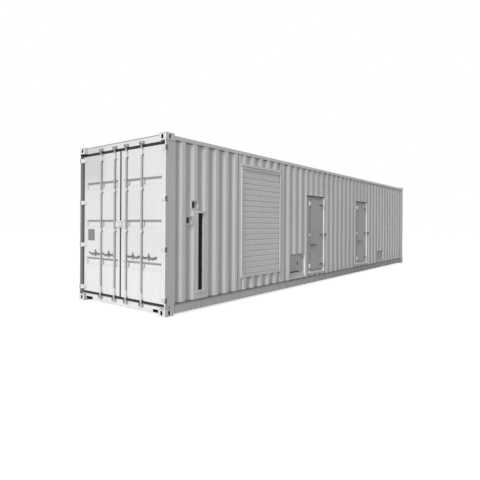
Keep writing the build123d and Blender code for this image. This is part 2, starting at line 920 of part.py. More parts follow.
for number, shift in enumerate((0, door_spacing), start=1):
    with BuildPart() as personnel_door_frame:
        span_box(bay_left + shift, bay_right + shift, -wall_face, -wall_inner, bay_low, bay_top)
        recess(door_left + shift, door_right + shift, door_low, door_top, door_sill_rise)
        wall_cut(doorway_left + shift, doorway_right + shift, doorway_low, doorway_top)
        with BuildSketch(Plane.XZ.offset(recess_back)) as blocks:
            for z, tall in keeper_blocks:
                with Locations((block_x + shift, z)):
                    Rectangle(keeper_block_width, tall)
            chamfer(blocks.vertices(), length=keeper_block_corner)
        extrude(amount=keeper_block_rise)
    personnel_door_frame.part.label = f"personnel_door_frame_{number}"
    export_step(personnel_door_frame.part, f"parts/personnel_door_frame_{number}.step")

    with BuildPart() as personnel_door:
        span_box(
            leaf_left + shift, leaf_right + shift, leaf_front, leaf_rear, door_leaf_low, door_leaf_top
        )
        span_box(
            doorway_left + plug_clearance + shift,
            doorway_right - plug_clearance + shift,
            leaf_rear,
            -wall_inner - plug_back_gap,
            doorway_low + plug_clearance,
            doorway_top - plug_clearance,
        )
        with BuildSketch(Plane.XZ.offset(-leaf_front)):
            with Locations((lever_x + shift, lever_z)):
                Circle(rose_radius)
        extrude(amount=rose_thickness)
    personnel_door.part.label = f"personnel_door_{number}"
    export_step(personnel_door.part, f"parts/personnel_door_{number}.step")

    hinge_x = door_pin_x + shift
    strap_right = hinge_x + door_strap_thickness
    with BuildPart() as personnel_hinges:
        with BuildSketch(Plane.XZ.offset(-leaf_front)):
            for z in door_hinge_heights:
                with BuildLine():
                    Polyline(
                        (strap_right, z - half_knuckle),
                        (strap_right, z + half_knuckle),
                        (hinge_x - door_knuckle_radius, z + half_knuckle),
                        (hinge_x - door_strap_reach, z + door_strap_tip / 2),
                        (hinge_x - door_strap_reach, z - door_strap_tip / 2),
                        (hinge_x - door_knuckle_radius, z - half_knuckle),
                        close=True,
                    )
                make_face()
        extrude(amount=door_strap_thickness)
        for z in door_hinge_heights:
            low = z - half_knuckle
            high = z + half_knuckle
            small_round(hinge_x, door_pin_y, low, high, door_knuckle_radius)
            span_box(hinge_x - door_knuckle_radius, strap_right, door_pin_y, leaf_front, low, high)
            small_round(hinge_x, door_pin_y, low, high, door_pin_radius + pin_fit, mode=Mode.SUBTRACT)
    personnel_hinges.part.label = f"personnel_hinges_{number}"
    export_step(personnel_hinges.part, f"parts/personnel_hinges_{number}.step")

    with BuildPart() as door_lever:
        with BuildSketch(Plane.XZ.offset(-rose_front + lever_gap)):
            with Locations((lever_x + shift, lever_z)):
                Circle(lever_neck_radius)
        extrude(amount=lever_neck)
        with BuildSketch(Plane.XZ.offset(-lever_back)):
            with Locations((lever_x + shift, lever_z)):
                Circle(lever_root_radius)
            with Locations((lever_x + shift + lever_length, lever_z)):
                Circle(lever_end_radius)
            make_hull()
        extrude(amount=lever_thickness)
        with BuildSketch(Plane.XZ.offset(-lever_back)):
            with Locations((lever_x + shift + lever_length, lever_z)):
                Rectangle(lever_end_radius, 2 * lever_end_radius, align=(Align.MIN, Align.CENTER))
                Circle(lever_end_radius, mode=Mode.INTERSECT)
        extrude(amount=-lever_curl)
    door_lever.part.label = f"door_lever_{number}"
    export_step(door_lever.part, f"parts/door_lever_{number}.step")

with BuildPart() as personnel_hinge_lugs:
    lug_front = door_pin_y - hinge_lug_thickness / 2
    lug_back = door_pin_y + hinge_lug_thickness / 2
    for shift in (0, door_spacing):
        for z in door_hinge_heights:
            lug_top = z - half_knuckle - hinge_end_gap
            lug_low = lug_top - hinge_lug_height
            small_round(door_pin_x + shift, door_pin_y, lug_low, lug_top, door_knuckle_radius)
            span_box(door_pin_x + shift, door_right + shift, lug_front, lug_back, lug_low, lug_top)
            small_round(door_pin_x + shift, door_pin_y, lug_top, z + half_knuckle, door_pin_radius)
personnel_hinge_lugs.part.label = "personnel_hinge_lugs"
export_step(personnel_hinge_lugs.part, "parts/personnel_hinge_lugs.step")

# Rubber buffers, each in the first whole valley of the wall beyond its door
buffer_places = []
for shift in (0, door_spacing):
    waves_before = (bay_right + shift - first_flat_x - outer_flat) // wave_pitch
    valley_start = first_flat_x + waves_before * wave_pitch + outer_flat + slope_run
    if valley_start < bay_right + shift:
        valley_start += wave_pitch
    buffer_places.append(valley_start + inner_flat / 2)

with BuildPart() as door_buffers:
    with BuildSketch(Plane.XZ.offset(valley_face)):
        for x in buffer_places:
            with Locations((x, buffer_z)):
                Circle(buffer_radius)
    extrude(amount=buffer_length)
door_buffers.part.label = "door_buffers"
export_step(door_buffers.part, "parts/door_buffers.step")

# Grilled hatch
grille_face = -recess_back - grille_thickness
grille_left = hatch_left + grille_frame
grille_right = hatch_right - grille_frame
grille_low = hatch_low + grille_frame
grille_high = hatch_top - grille_frame
grille_pitch = (grille_high - grille_low) / grille_bars

with BuildPart() as hatch_housing:
    span_box(hatch_box_left, hatch_box_right, -wall_face, -wall_inner, hatch_box_low, hatch_box_top)
    recess(hatch_left, hatch_right, hatch_low, hatch_top, 0)
hatch_housing.part.label = "hatch_housing"
export_step(hatch_housing.part, "parts/hatch_housing.step")

with BuildPart() as hatch_grille:
    span_box(hatch_left, hatch_right, grille_face, -recess_back, hatch_low, hatch_top)
    wall_cut(grille_left, grille_right, grille_low, grille_high)
    with BuildSketch(Plane.YZ.offset(grille_left)):
        for bar in range(grille_bars):
            z = grille_low + (bar + 1 / 2) * grille_pitch
            with Locations(Location(((grille_face - recess_back) / 2, z), grille_bar_angle)):
                Rectangle(grille_bar_height, grille_bar_thickness)
    extrude(amount=grille_right - grille_left)
hatch_grille.part.label = "hatch_grille"
export_step(hatch_grille.part, "parts/hatch_grille.step")

# Keepers on the header and the sill: open saddles that take the cams of the lock bars
bar_ys = [sign * place for sign in (-1, 1) for place in bar_positions]
cam_spans = (
    (bar_low + cam_end_offset, bar_low + cam_end_offset + cam_height),
    (bar_top - cam_end_offset - cam_height, bar_top - cam_end_offset),
)
keeper_face = header_x - keeper_base
keeper_edge = keeper_gap + keeper_ear

with BuildPart() as bar_keepers:
    for y in bar_ys:
        for low, high in cam_spans:
            keeper_low = (low + high - keeper_height) / 2
            keeper_high = keeper_low + keeper_height
            span_box(keeper_face, header_x, y - keeper_edge, y + keeper_edge, keeper_low, keeper_high)
            for ear in (y - keeper_edge, y + keeper_gap):
                span_box(
                    keeper_face - keeper_reach, keeper_face, ear, ear + keeper_ear, keeper_low, keeper_high
                )
bar_keepers.part.label = "bar_keepers"
export_step(bar_keepers.part, "parts/bar_keepers.step")

# Cargo doors: the right one is modelled at the service side, the left one mirrored
band_inner = leaf_inner_edge - gasket_width + band_inner_margin
band_outer = leaf_outer_edge - band_outer_margin
band_middle = -(band_inner + band_outer) / 2

with BuildPart() as cargo_door_right:
    span_box(leaf_face_x, leaf_back_x, -leaf_outer_edge, -leaf_inner_edge, leaf_low, leaf_top)
    for band_low in band_low_edges:
        with BuildSketch(Plane.YZ.offset(leaf_face_x)):
            with Locations((band_middle, band_low + band_height / 2)):
                Rectangle(band_outer - band_inner, band_height)
        extrude(amount=band_depth, taper=band_draft, mode=Mode.SUBTRACT)
        for place in bar_positions:
            span_box(
                leaf_face_x + bridge_setback,
                leaf_face_x + bridge_setback + bridge_thickness,
                -place - bridge_width / 2,
                -place + bridge_width / 2,
                band_low,
                band_low + band_height,
            )
cargo_door_right.part.label = "cargo_door_right"
export_step(cargo_door_right.part, "parts/cargo_door_right.step")

gasket_face = leaf_face_x + gasket_recess
gasket_back = gasket_face + gasket_thickness
gasket_low = leaf_low - gasket_lip
gasket_top = leaf_top + gasket_lip

with BuildPart() as cargo_gasket_right:
    span_box(
        gasket_face, gasket_back, -gasket_outer_edge, -leaf_inner_edge + gasket_width, gasket_low, gasket_top
    )
    span_box(
        gasket_face,
        gasket_back,
        -leaf_outer_edge,
        -leaf_inner_edge,
        leaf_low,
        leaf_top,
        mode=Mode.SUBTRACT,
    )
cargo_gasket_right.part.label = "cargo_gasket_right"
export_step(cargo_gasket_right.part, "parts/cargo_gasket_right.step")

# One hinge blade: a knuckle with a strap that narrows towards its foot on the leaf
knuckle_half = hinge_notch_height / 2 - hinge_end_gap
blade_foot = -leaf_outer_edge + blade_reach

with BuildPart() as hinge_blade:
    with BuildSketch(Plane.XY.offset(-knuckle_half)):
        with BuildLine():
            Polyline(
                (pin_x - blade_thickness / 2, pin_y),
                (pin_x + blade_thickness / 2, pin_y),
                (leaf_face_x, -leaf_outer_edge - blade_thickness),
                (leaf_face_x, blade_foot),
                (leaf_face_x - blade_plate, blade_foot),
                (leaf_face_x - blade_plate, -leaf_outer_edge),
                close=True,
            )
        make_face()
    extrude(amount=2 * knuckle_half)
    with BuildSketch(Plane.YZ.offset(-half_length)):
        with BuildLine():
            Polyline(
                (-half_width, -knuckle_half),
                (pin_y + knuckle_radius, -knuckle_half),
                (blade_foot, -blade_tip / 2),
                (blade_foot, blade_tip / 2),
                (pin_y + knuckle_radius, knuckle_half),
                (-half_width, knuckle_half),
                close=True,
            )
        make_face()
    extrude(amount=leaf_face_depth, mode=Mode.INTERSECT)
    small_round(pin_x, pin_y, -knuckle_half, knuckle_half, knuckle_radius)
    small_round(pin_x, pin_y, -knuckle_half, knuckle_half, pin_radius + pin_fit, mode=Mode.SUBTRACT)

guide_spans = [(leaf_low + low_guide_gap, leaf_low + low_guide_gap + low_guide_height)]
guide_spans += [(low - guide_band_gap - guide_height, low - guide_band_gap) for low in band_low_edges[1:]]
guide_spans += [(leaf_top - top_guide_gap - top_guide_height, leaf_top - top_guide_gap)]
guide_bore = bar_radius + guide_clearance
guide_turn = 180 / guide_sides
strap_depth = leaf_face_x - bar_x
foot_x = leaf_face_x - guide_foot_thickness
catch_low = handle_height - handle_width / 2 - catch_gap - catch_plate
catch_high = handle_height + handle_width / 2 + catch_gap


def centre_plate(inner, outer, side):
    """Half of the plate over the gap between the leaves."""
    edges = sorted((side * inner, side * outer))
    low = band_low_edges[1] - centre_plate_lap
    plate_face = leaf_face_x - centre_plate_thickness
    span_box(plate_face, leaf_face_x, edges[0], edges[1], low, low + centre_plate_height)


# Hinge blades, bar guides and handle catches of one cargo door
with BuildPart() as door_hardware:
    with Locations(*[(0, 0, z) for z in hinge_heights]):
        add(hinge_blade.part)
    for place in bar_positions:
        for low, high in guide_spans:
            with BuildSketch(Plane.XY.offset(low)):
                with Locations((bar_x, -place)):
                    RegularPolygon(guide_radius, guide_sides, major_radius=False, rotation=guide_turn)
                with Locations((bar_x + strap_depth / 2, -place)):
                    Rectangle(strap_depth, 2 * guide_radius)
                with Locations((foot_x + guide_foot_thickness / 2, -place)):
                    Rectangle(guide_foot_thickness, guide_foot_width)
                with Locations((bar_x, -place)):
                    RegularPolygon(
                        guide_bore, guide_sides, major_radius=False, rotation=guide_turn, mode=Mode.SUBTRACT
                    )
                with Locations((bar_x + strap_depth / 2, -place)):
                    Rectangle(strap_depth, 2 * guide_bore, mode=Mode.SUBTRACT)
            extrude(amount=high - low)
        catch_y = -place - catch_offset
        catch_side = catch_y - catch_width / 2
        catch_edge = catch_y + catch_width / 2
        span_box(foot_x, leaf_face_x, catch_side, catch_edge, catch_low, catch_high + catch_plate)
        for low in (catch_low, catch_high):
            span_box(
                leaf_face_x - catch_reach, leaf_face_x, catch_side, catch_edge, low, low + catch_plate
            )

with BuildPart() as cargo_hardware_right:
    add(door_hardware.part)
    centre_plate(centre_gap / 2, centre_plate_right, -1)
cargo_hardware_right.part.label = "cargo_hardware_right"
export_step(cargo_hardware_right.part, "parts/cargo_hardware_right.step")

with BuildPart() as cargo_hardware_left:
    mirror(door_hardware.part, about=Plane.XZ)
    centre_plate(centre_gap / 2, centre_plate_left, 1)
cargo_hardware_left.part.label = "cargo_hardware_left"
export_step(cargo_hardware_left.part, "parts/cargo_hardware_left.step")

with BuildPart() as cargo_door_left:
    mirror(cargo_door_right.part, about=Plane.XZ)
cargo_door_left.part.label = "cargo_door_left"
export_step(cargo_door_left.part, "parts/cargo_door_left.step")

with BuildPart() as cargo_gasket_left:
    mirror(cargo_gasket_right.part, about=Plane.XZ)
cargo_gasket_left.part.label = "cargo_gasket_left"
export_step(cargo_gasket_left.part, "parts/cargo_gasket_left.step")

# Lock bars, each with its cams and its bent handle
half_cam = cam_width / 2

for place, position in zip(bar_positions, ("inner", "outer")):
    cam_tip = -place - cam_reach
    handle_upper = [(-place - out, handle_height + rise + handle_width / 2) for out, rise in handle_bends]
    handle_lower = [(-place - out, handle_height + rise - handle_width / 2) for out, rise in handle_bends]
    hub_low = handle_height - handle_hub_height / 2

    with BuildPart() as right_bar:
        with Locations((bar_x, -place, (bar_low + bar_top) / 2)):
            Cylinder(bar_radius, bar_top - bar_low)
        for low, high in cam_spans:
            with BuildSketch(Plane.XY.offset(low)):
                with BuildLine():
                    Polyline(
                        (bar_x - half_cam, -place),
                        (bar_x - half_cam, cam_tip + cam_nose),
                        (bar_x - half_cam + cam_nose, cam_tip),
                        (bar_x + half_cam - cam_nose, cam_tip),
                        (bar_x + half_cam, cam_tip + cam_nose),
                        (bar_x + half_cam, -place),
                        close=True,
                    )
                make_face()
            extrude(amount=cam_height)
        small_round(bar_x, -place, hub_low, hub_low + handle_hub_height, handle_hub_radius)
        with BuildSketch(Plane.YZ.offset(bar_x - handle_thickness / 2)):
            with BuildLine():
                Polyline(*handle_upper, *reversed(handle_lower), close=True)
            make_face()
        extrude(amount=handle_thickness)
    right_bar.part.label = f"lock_bar_right_{position}"
    export_step(right_bar.part, f"parts/lock_bar_right_{position}.step")

    with BuildPart() as left_bar:
        mirror(right_bar.part, about=Plane.XZ)
    left_bar.part.label = f"lock_bar_left_{position}"
    export_step(left_bar.part, f"parts/lock_bar_left_{position}.step")
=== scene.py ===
import math
import random

import bmesh
import bpy
from mathutils import Matrix, Vector


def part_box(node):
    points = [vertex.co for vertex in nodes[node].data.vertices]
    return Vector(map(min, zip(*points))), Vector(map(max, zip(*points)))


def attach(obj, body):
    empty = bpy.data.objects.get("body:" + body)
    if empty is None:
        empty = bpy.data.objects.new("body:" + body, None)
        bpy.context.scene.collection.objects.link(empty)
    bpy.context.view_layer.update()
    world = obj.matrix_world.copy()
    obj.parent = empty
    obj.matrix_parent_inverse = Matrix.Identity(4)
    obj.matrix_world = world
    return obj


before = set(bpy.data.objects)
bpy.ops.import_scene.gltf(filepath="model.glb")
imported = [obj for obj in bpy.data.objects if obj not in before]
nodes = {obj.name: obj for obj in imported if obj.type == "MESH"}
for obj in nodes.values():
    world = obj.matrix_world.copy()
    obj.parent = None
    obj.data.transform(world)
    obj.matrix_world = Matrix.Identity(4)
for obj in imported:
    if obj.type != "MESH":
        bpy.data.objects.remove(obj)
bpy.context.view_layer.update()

scene = bpy.context.scene
print("frame loaded:", len(nodes), "nodes")


def addObject(name, data):
    made = bpy.data.objects.new(name, data)
    scene.collection.objects.link(made)
    return made


cameraSet = {
    "place": (-10.4391, -6.0505, 1.4667),
    "yaw": 38.247,  # degrees from the long axis towards the back wall
    "pitch": 0.098, "roll": 0.319, "lens": 30.868,
    "shift": (0.00672, -0.03517),
}


def addCamera(s):
    yaw, pitch, roll = (math.radians(s[k]) for k in ("yaw", "pitch", "roll"))
    look = Vector((math.cos(yaw) * math.cos(pitch), math.sin(yaw) * math.cos(pitch), math.sin(pitch)))
    right = look.cross(Vector((0, 0, 1))).normalized()
    up = right.cross(look)
    right, up = (
        math.cos(roll) * right + math.sin(roll) * up,
        -math.sin(roll) * right + math.cos(roll) * up,
    )
    turn = Matrix((right, up, -look)).transposed().to_4x4()
    data = bpy.data.cameras.new("camera")
    data.sensor_width = 36
    data.lens = s["lens"]
    data.shift_x, data.shift_y = s["shift"]
    data.clip_end = 200
    cam = addObject("camera", data)
    cam.matrix_world = Matrix.Translation(s["place"]) @ turn
    scene.camera = cam


addCamera(cameraSet)
scene.view_settings.view_transform = "Standard"
print("camera set")


class Nodes:  # short names for the few node kinds used here
    def __init__(self, name, kind="Material"):
        self.made = (bpy.data.worlds if kind == "World" else bpy.data.materials).new(name)
        self.made.use_nodes = True
        self.tree = self.made.node_tree
        self.tree.nodes.clear()
        self.out = self.add("Output" + kind)
        self.coord = self.add("TexCoord").outputs["Object"]
        self.along, self.across, self.up = self.add("SeparateXYZ", {0: self.coord}).outputs
        self.side = self.math("ABSOLUTE", self.across)  # the same on the service and back sides
        self.end = self.math("ABSOLUTE", self.along)  # the same at both ends

    def feed(self, socket, value):
        if isinstance(value, bpy.types.NodeSocket):
            self.tree.links.new(value, socket)
        else:
            socket.default_value = value

    def add(self, kind, feeds=None, **values):  # feeds go to the inputs, values to the settings
        node = self.tree.nodes.new("ShaderNode" + kind)
        for key, value in values.items():
            setattr(node, key, value)
        for key, value in (feeds or {}).items():
            self.feed(node.inputs[key], value)
        return node

    def math(self, kind, a, b=0.0, clamp=False):
        return self.add("Math", {0: a, 1: b}, operation=kind, use_clamp=clamp).outputs[0]

    def times(self, a, b):
        return self.math("MULTIPLY", a, b)

    def noise(self, size, detail, rough=0.55):
        place = self.add("Mapping", {"Vector": self.coord, "Scale": size}).outputs[0]
        feeds = {"Vector": place, "Scale": 1, "Detail": detail, "Roughness": rough}
        return self.add("TexNoise", feeds).outputs["Fac"]

    def span(self, value, low, high, toLow=0.0, toHigh=1.0):
        feeds = {0: value, 1: low, 2: high, 3: toLow, 4: toHigh}
        return self.add("MapRange", feeds, interpolation_type="SMOOTHSTEP").outputs[0]

    def within(self, value, low, high, soft):  # 1 between low and high, fading over soft outside
        return self.times(self.span(value, low - soft, low), self.span(value, high, high + soft, 1, 0))

    def blend(self, amount, a, b):
        a, b = ((*c, 1) if isinstance(c, tuple) else c for c in (a, b))
        return self.add("Mix", {0: amount, 6: a, 7: b}, data_type="RGBA").outputs[2]

    def crevice(self, distance):
        shut = self.add("AmbientOcclusion", {"Distance": distance}, samples=6)
        return self.math("SUBTRACT", 1.0, shut.outputs["AO"], clamp=True)

    def edge(self, radius):  # where the edges are, and the normal that rounds them
        soft = self.add("Bevel", {"Radius": radius}, samples=4).outputs[0]
        flat = self.add("NewGeometry").outputs["Normal"]
        dot = self.add("VectorMath", {0: soft, 1: flat}, operation="DOT_PRODUCT")
        return self.math("SUBTRACT", 1.0, dot.outputs["Value"], clamp=True), soft

    def bump(self, value, depth, normal=None):
        feeds = {"Strength": 1, "Distance": depth, "Height": value}
        if normal is not None:
            feeds["Normal"] = normal
        return self.add("Bump", feeds).outputs[0]

    def surface(self, color, rough, normal, gloss=0.5):
        feeds = {"Base Color": color, "Roughness": rough, "Normal": normal, "Specular IOR Level": gloss}
        self.feed(self.out.inputs["Surface"], self.add("BsdfPrincipled", feeds).outputs[0])
        return self.made

    def mark(self, m):  # how strongly a mark shows at each point
        mask = m["amount"]
        for axis, (low, high) in m["place"].items():
            part = self.within(getattr(self, axis), low, high, m["soft"])
            mask = part if mask == 1.0 else self.times(part, mask)
        if m["breakUp"]:
            mask = self.times(mask, self.span(self.noise(m["breakUp"], 4), 0.35, 0.62))
        return mask

    def grooveShade(self, g):  # painted shade in each groove between two slats
        place = self.math("DIVIDE", self.math("SUBTRACT", self.up, g["first"]), g["pitch"])
        lap = self.times(self.math("FRACT", place), g["pitch"])
        return self.times(self.span(lap, g["height"], g["height"] + 0.004, 1, 0), g["amount"])

    def whiteRays(self):  # rays that see the plain white studio
        path = self.add("LightPath").outputs
        either = self.math("MAXIMUM", path["Is Camera Ray"], path["Is Glossy Ray"])
        return self.math("MAXIMUM", either, path["Is Transmission Ray"])


keySet = {
    "angles": (55, -81),  # tilt from straight down, then heading: from the cargo door end
    "strength": 2.2, "soft": 24,
}
fillSet = {  # a low soft panel that brightens the foot of the doors
    "place": (-13, -3.2, 0.7), "aim": (-6.1, -0.9, 0.9), "size": 2, "power": 45,
}
skySet = {"strength": 0.42, "light": (0.97, 0.985, 1, 1), "seen": (1, 1, 1, 1)}


def addLight(name, kind, strength):
    data = bpy.data.lights.new(name, kind)
    data.energy = strength
    return addObject(name, data)


def addSun(s):
    sun = addLight("key", "SUN", s["strength"])
    sun.data.angle = math.radians(s["soft"])
    tilt, heading = (math.radians(angle) for angle in s["angles"])
    sun.rotation_euler = (tilt, 0, heading)


def addPanelLight(s):
    lamp = addLight("fill", "AREA", s["power"])
    lamp.data.size = s["size"]
    lamp.location = s["place"]
    lamp.rotation_euler = (Vector(s["aim"]) - Vector(s["place"])).to_track_quat("-Z", "Y").to_euler()
    lamp.visible_camera = False
    lamp.visible_glossy = False


def addSky(s):
    n = Nodes("sky", "World")
    scene.world = n.made
    light = n.add("Background", {"Color": s["light"], "Strength": s["strength"]}).outputs[0]
    white = n.add("Background", {"Color": s["seen"]}).outputs[0]
    mix = n.add("MixShader", {"Fac": n.whiteRays(), 1: light, 2: white})
    n.feed(n.out.inputs["Surface"], mix.outputs[0])


addSun(keySet)
addPanelLight(fillSet)
addSky(skySet)
print("light set")

grainSet = {  # how fine each noise in the paints is, per metre along, across and up
    "cloud": (0.9, 0.9, 0.7), "streak": (9, 9, 0.45), "speck": (55, 55, 40),
    "peel": (190, 190, 190), "dents": (3.1, 3.1, 2.2), "dust": (30, 30, 18),
    "scuff": (2.5, 2.5, 2.5),
}


def makePaint(name, s):
    n = Nodes(name)
    cloud = n.noise(grainSet["cloud"], 4)
    streak = n.noise(grainSet["streak"], 5, 0.6)
    speck = n.noise(grainSet["speck"], 3, 0.7)
    color = n.blend(n.span(cloud, 0.35, 0.65), s["color"], s["second"])
    for m in s.get("marks", ()):
        color = n.blend(n.mark(m), color, m["color"])
    if "grooveShade" in s:
        color = n.blend(n.grooveShade(s["grooveShade"]), color, s["grooveShade"]["color"])
    runs = n.times(n.span(streak, 0.5, 0.78), s["streaks"])
    color = n.blend(runs, color, s["dirtAndShade"])
    dots = n.times(n.span(speck, 0.66, 0.8), s["specks"])
    color = n.blend(dots, color, s["dirtAndShade"])
    low = n.times(n.span(n.up, 0.0, 0.75, 1, 0), s["foot"])
    low = n.times(low, n.span(streak, 0.3, 0.7, 0.4, 1))
    color = n.blend(low, color, s["dirtAndShade"])
    # darker in the crevices: dirt, and painted shade where shade falls
    creviceDirtAndShade = n.times(n.span(n.crevice(s["creviceWidth"]), 0.3, 0.95), s["creviceDirtAndShade"])
    color = n.blend(creviceDirtAndShade, color, s["dirtAndShade"])
    edge, softNormal = n.edge(s["edge"])
    worn = n.times(n.span(edge, 0.02, 0.12), n.span(speck, 0.35, 0.7))
    color = n.blend(n.times(worn, s["wear"]), color, s["bare"])
    rough = n.span(cloud, 0.3, 0.7, s["rough"] - 0.06, s["rough"] + 0.08)
    fine = n.noise(grainSet["peel"], 2)
    dents = n.noise(grainSet["dents"], 2)
    normal = n.bump(dents, s["dents"], softNormal)
    normal = n.bump(fine, s["peel"], normal)
    return n.surface(color, rough, normal, s["gloss"])


def grey(level, blue=None):
    return (level, level, level if blue is None else blue)


def shade(level, amount=1.0, soft=0.004, breakUp=None, blue=None, **place):  # a soft box of dirt or light
    color = grey(level, blue)
    return {"color": color, "amount": amount, "soft": soft, "breakUp": breakUp, "place": place}


farEndShade = shade(0.54, 0.85, blue=0.535, along=(2.5, 8), soft=7)  # painted shade: the far end is darker
# painted shadow along the top of the bottom rail
footShadowLine = shade(0.1, 0.85, blue=0.098, up=(0.165, 0.19), soft=0.006)
# painted shade: the upper corner of the door end, on the left leaf's side, is darker
shadedCorner = shade(0.52, 0.5, blue=0.515, across=(0.75, 1.5), up=(2.45, 3.1), soft=0.5)
# painted light: the door end is brighter towards its foot
litFoot = shade(0.9, 0.6, blue=0.895, up=(-1, 0.3), soft=0.9)
doorShifts = (0, 2.995)  # the second personnel door repeats the first further along
bandLows = (0.694, 1.394, 2.094)  # the foot of each pressed band across the cargo leaves


def overDoor(along, crestShade, amount, valleyLight, blue):  # painted shade on the crests and painted light in the valleys, so the waves over a personnel door hardly show
    return [
        shade(crestShade, amount, along=along, across=(-1.21, -1.186), up=(2.18, 2.795), soft=0.012),
        shade(valleyLight, 0.85, blue=blue, along=along, across=(-1.186, -1.1), up=(2.18, 2.78), soft=0.012),
    ]


def bothDoors(level, low, high, **more):  # the same mark at both personnel doors
    return [shade(level, along=(low + shift, high + shift), **more) for shift in doorShifts]


def bandShades(low):  # painted shade under the top edge of a band, on its foot and at its outer end
    side = (0.085, 1.054)
    return [
        shade(0.3, 0.8, along=(-6.04, -6), side=side, up=(low + 0.1, low + 0.133)),
        shade(0.6, 0.6, blue=0.595, along=(-6.0345, -6), side=side, up=(low - 0.004, low + 0.034)),
        shade(0.5, 0.6, blue=0.495, along=(-6.036, -6), across=(1.018, 1.056), up=(low, low + 0.12),
              soft=0.006),
    ]


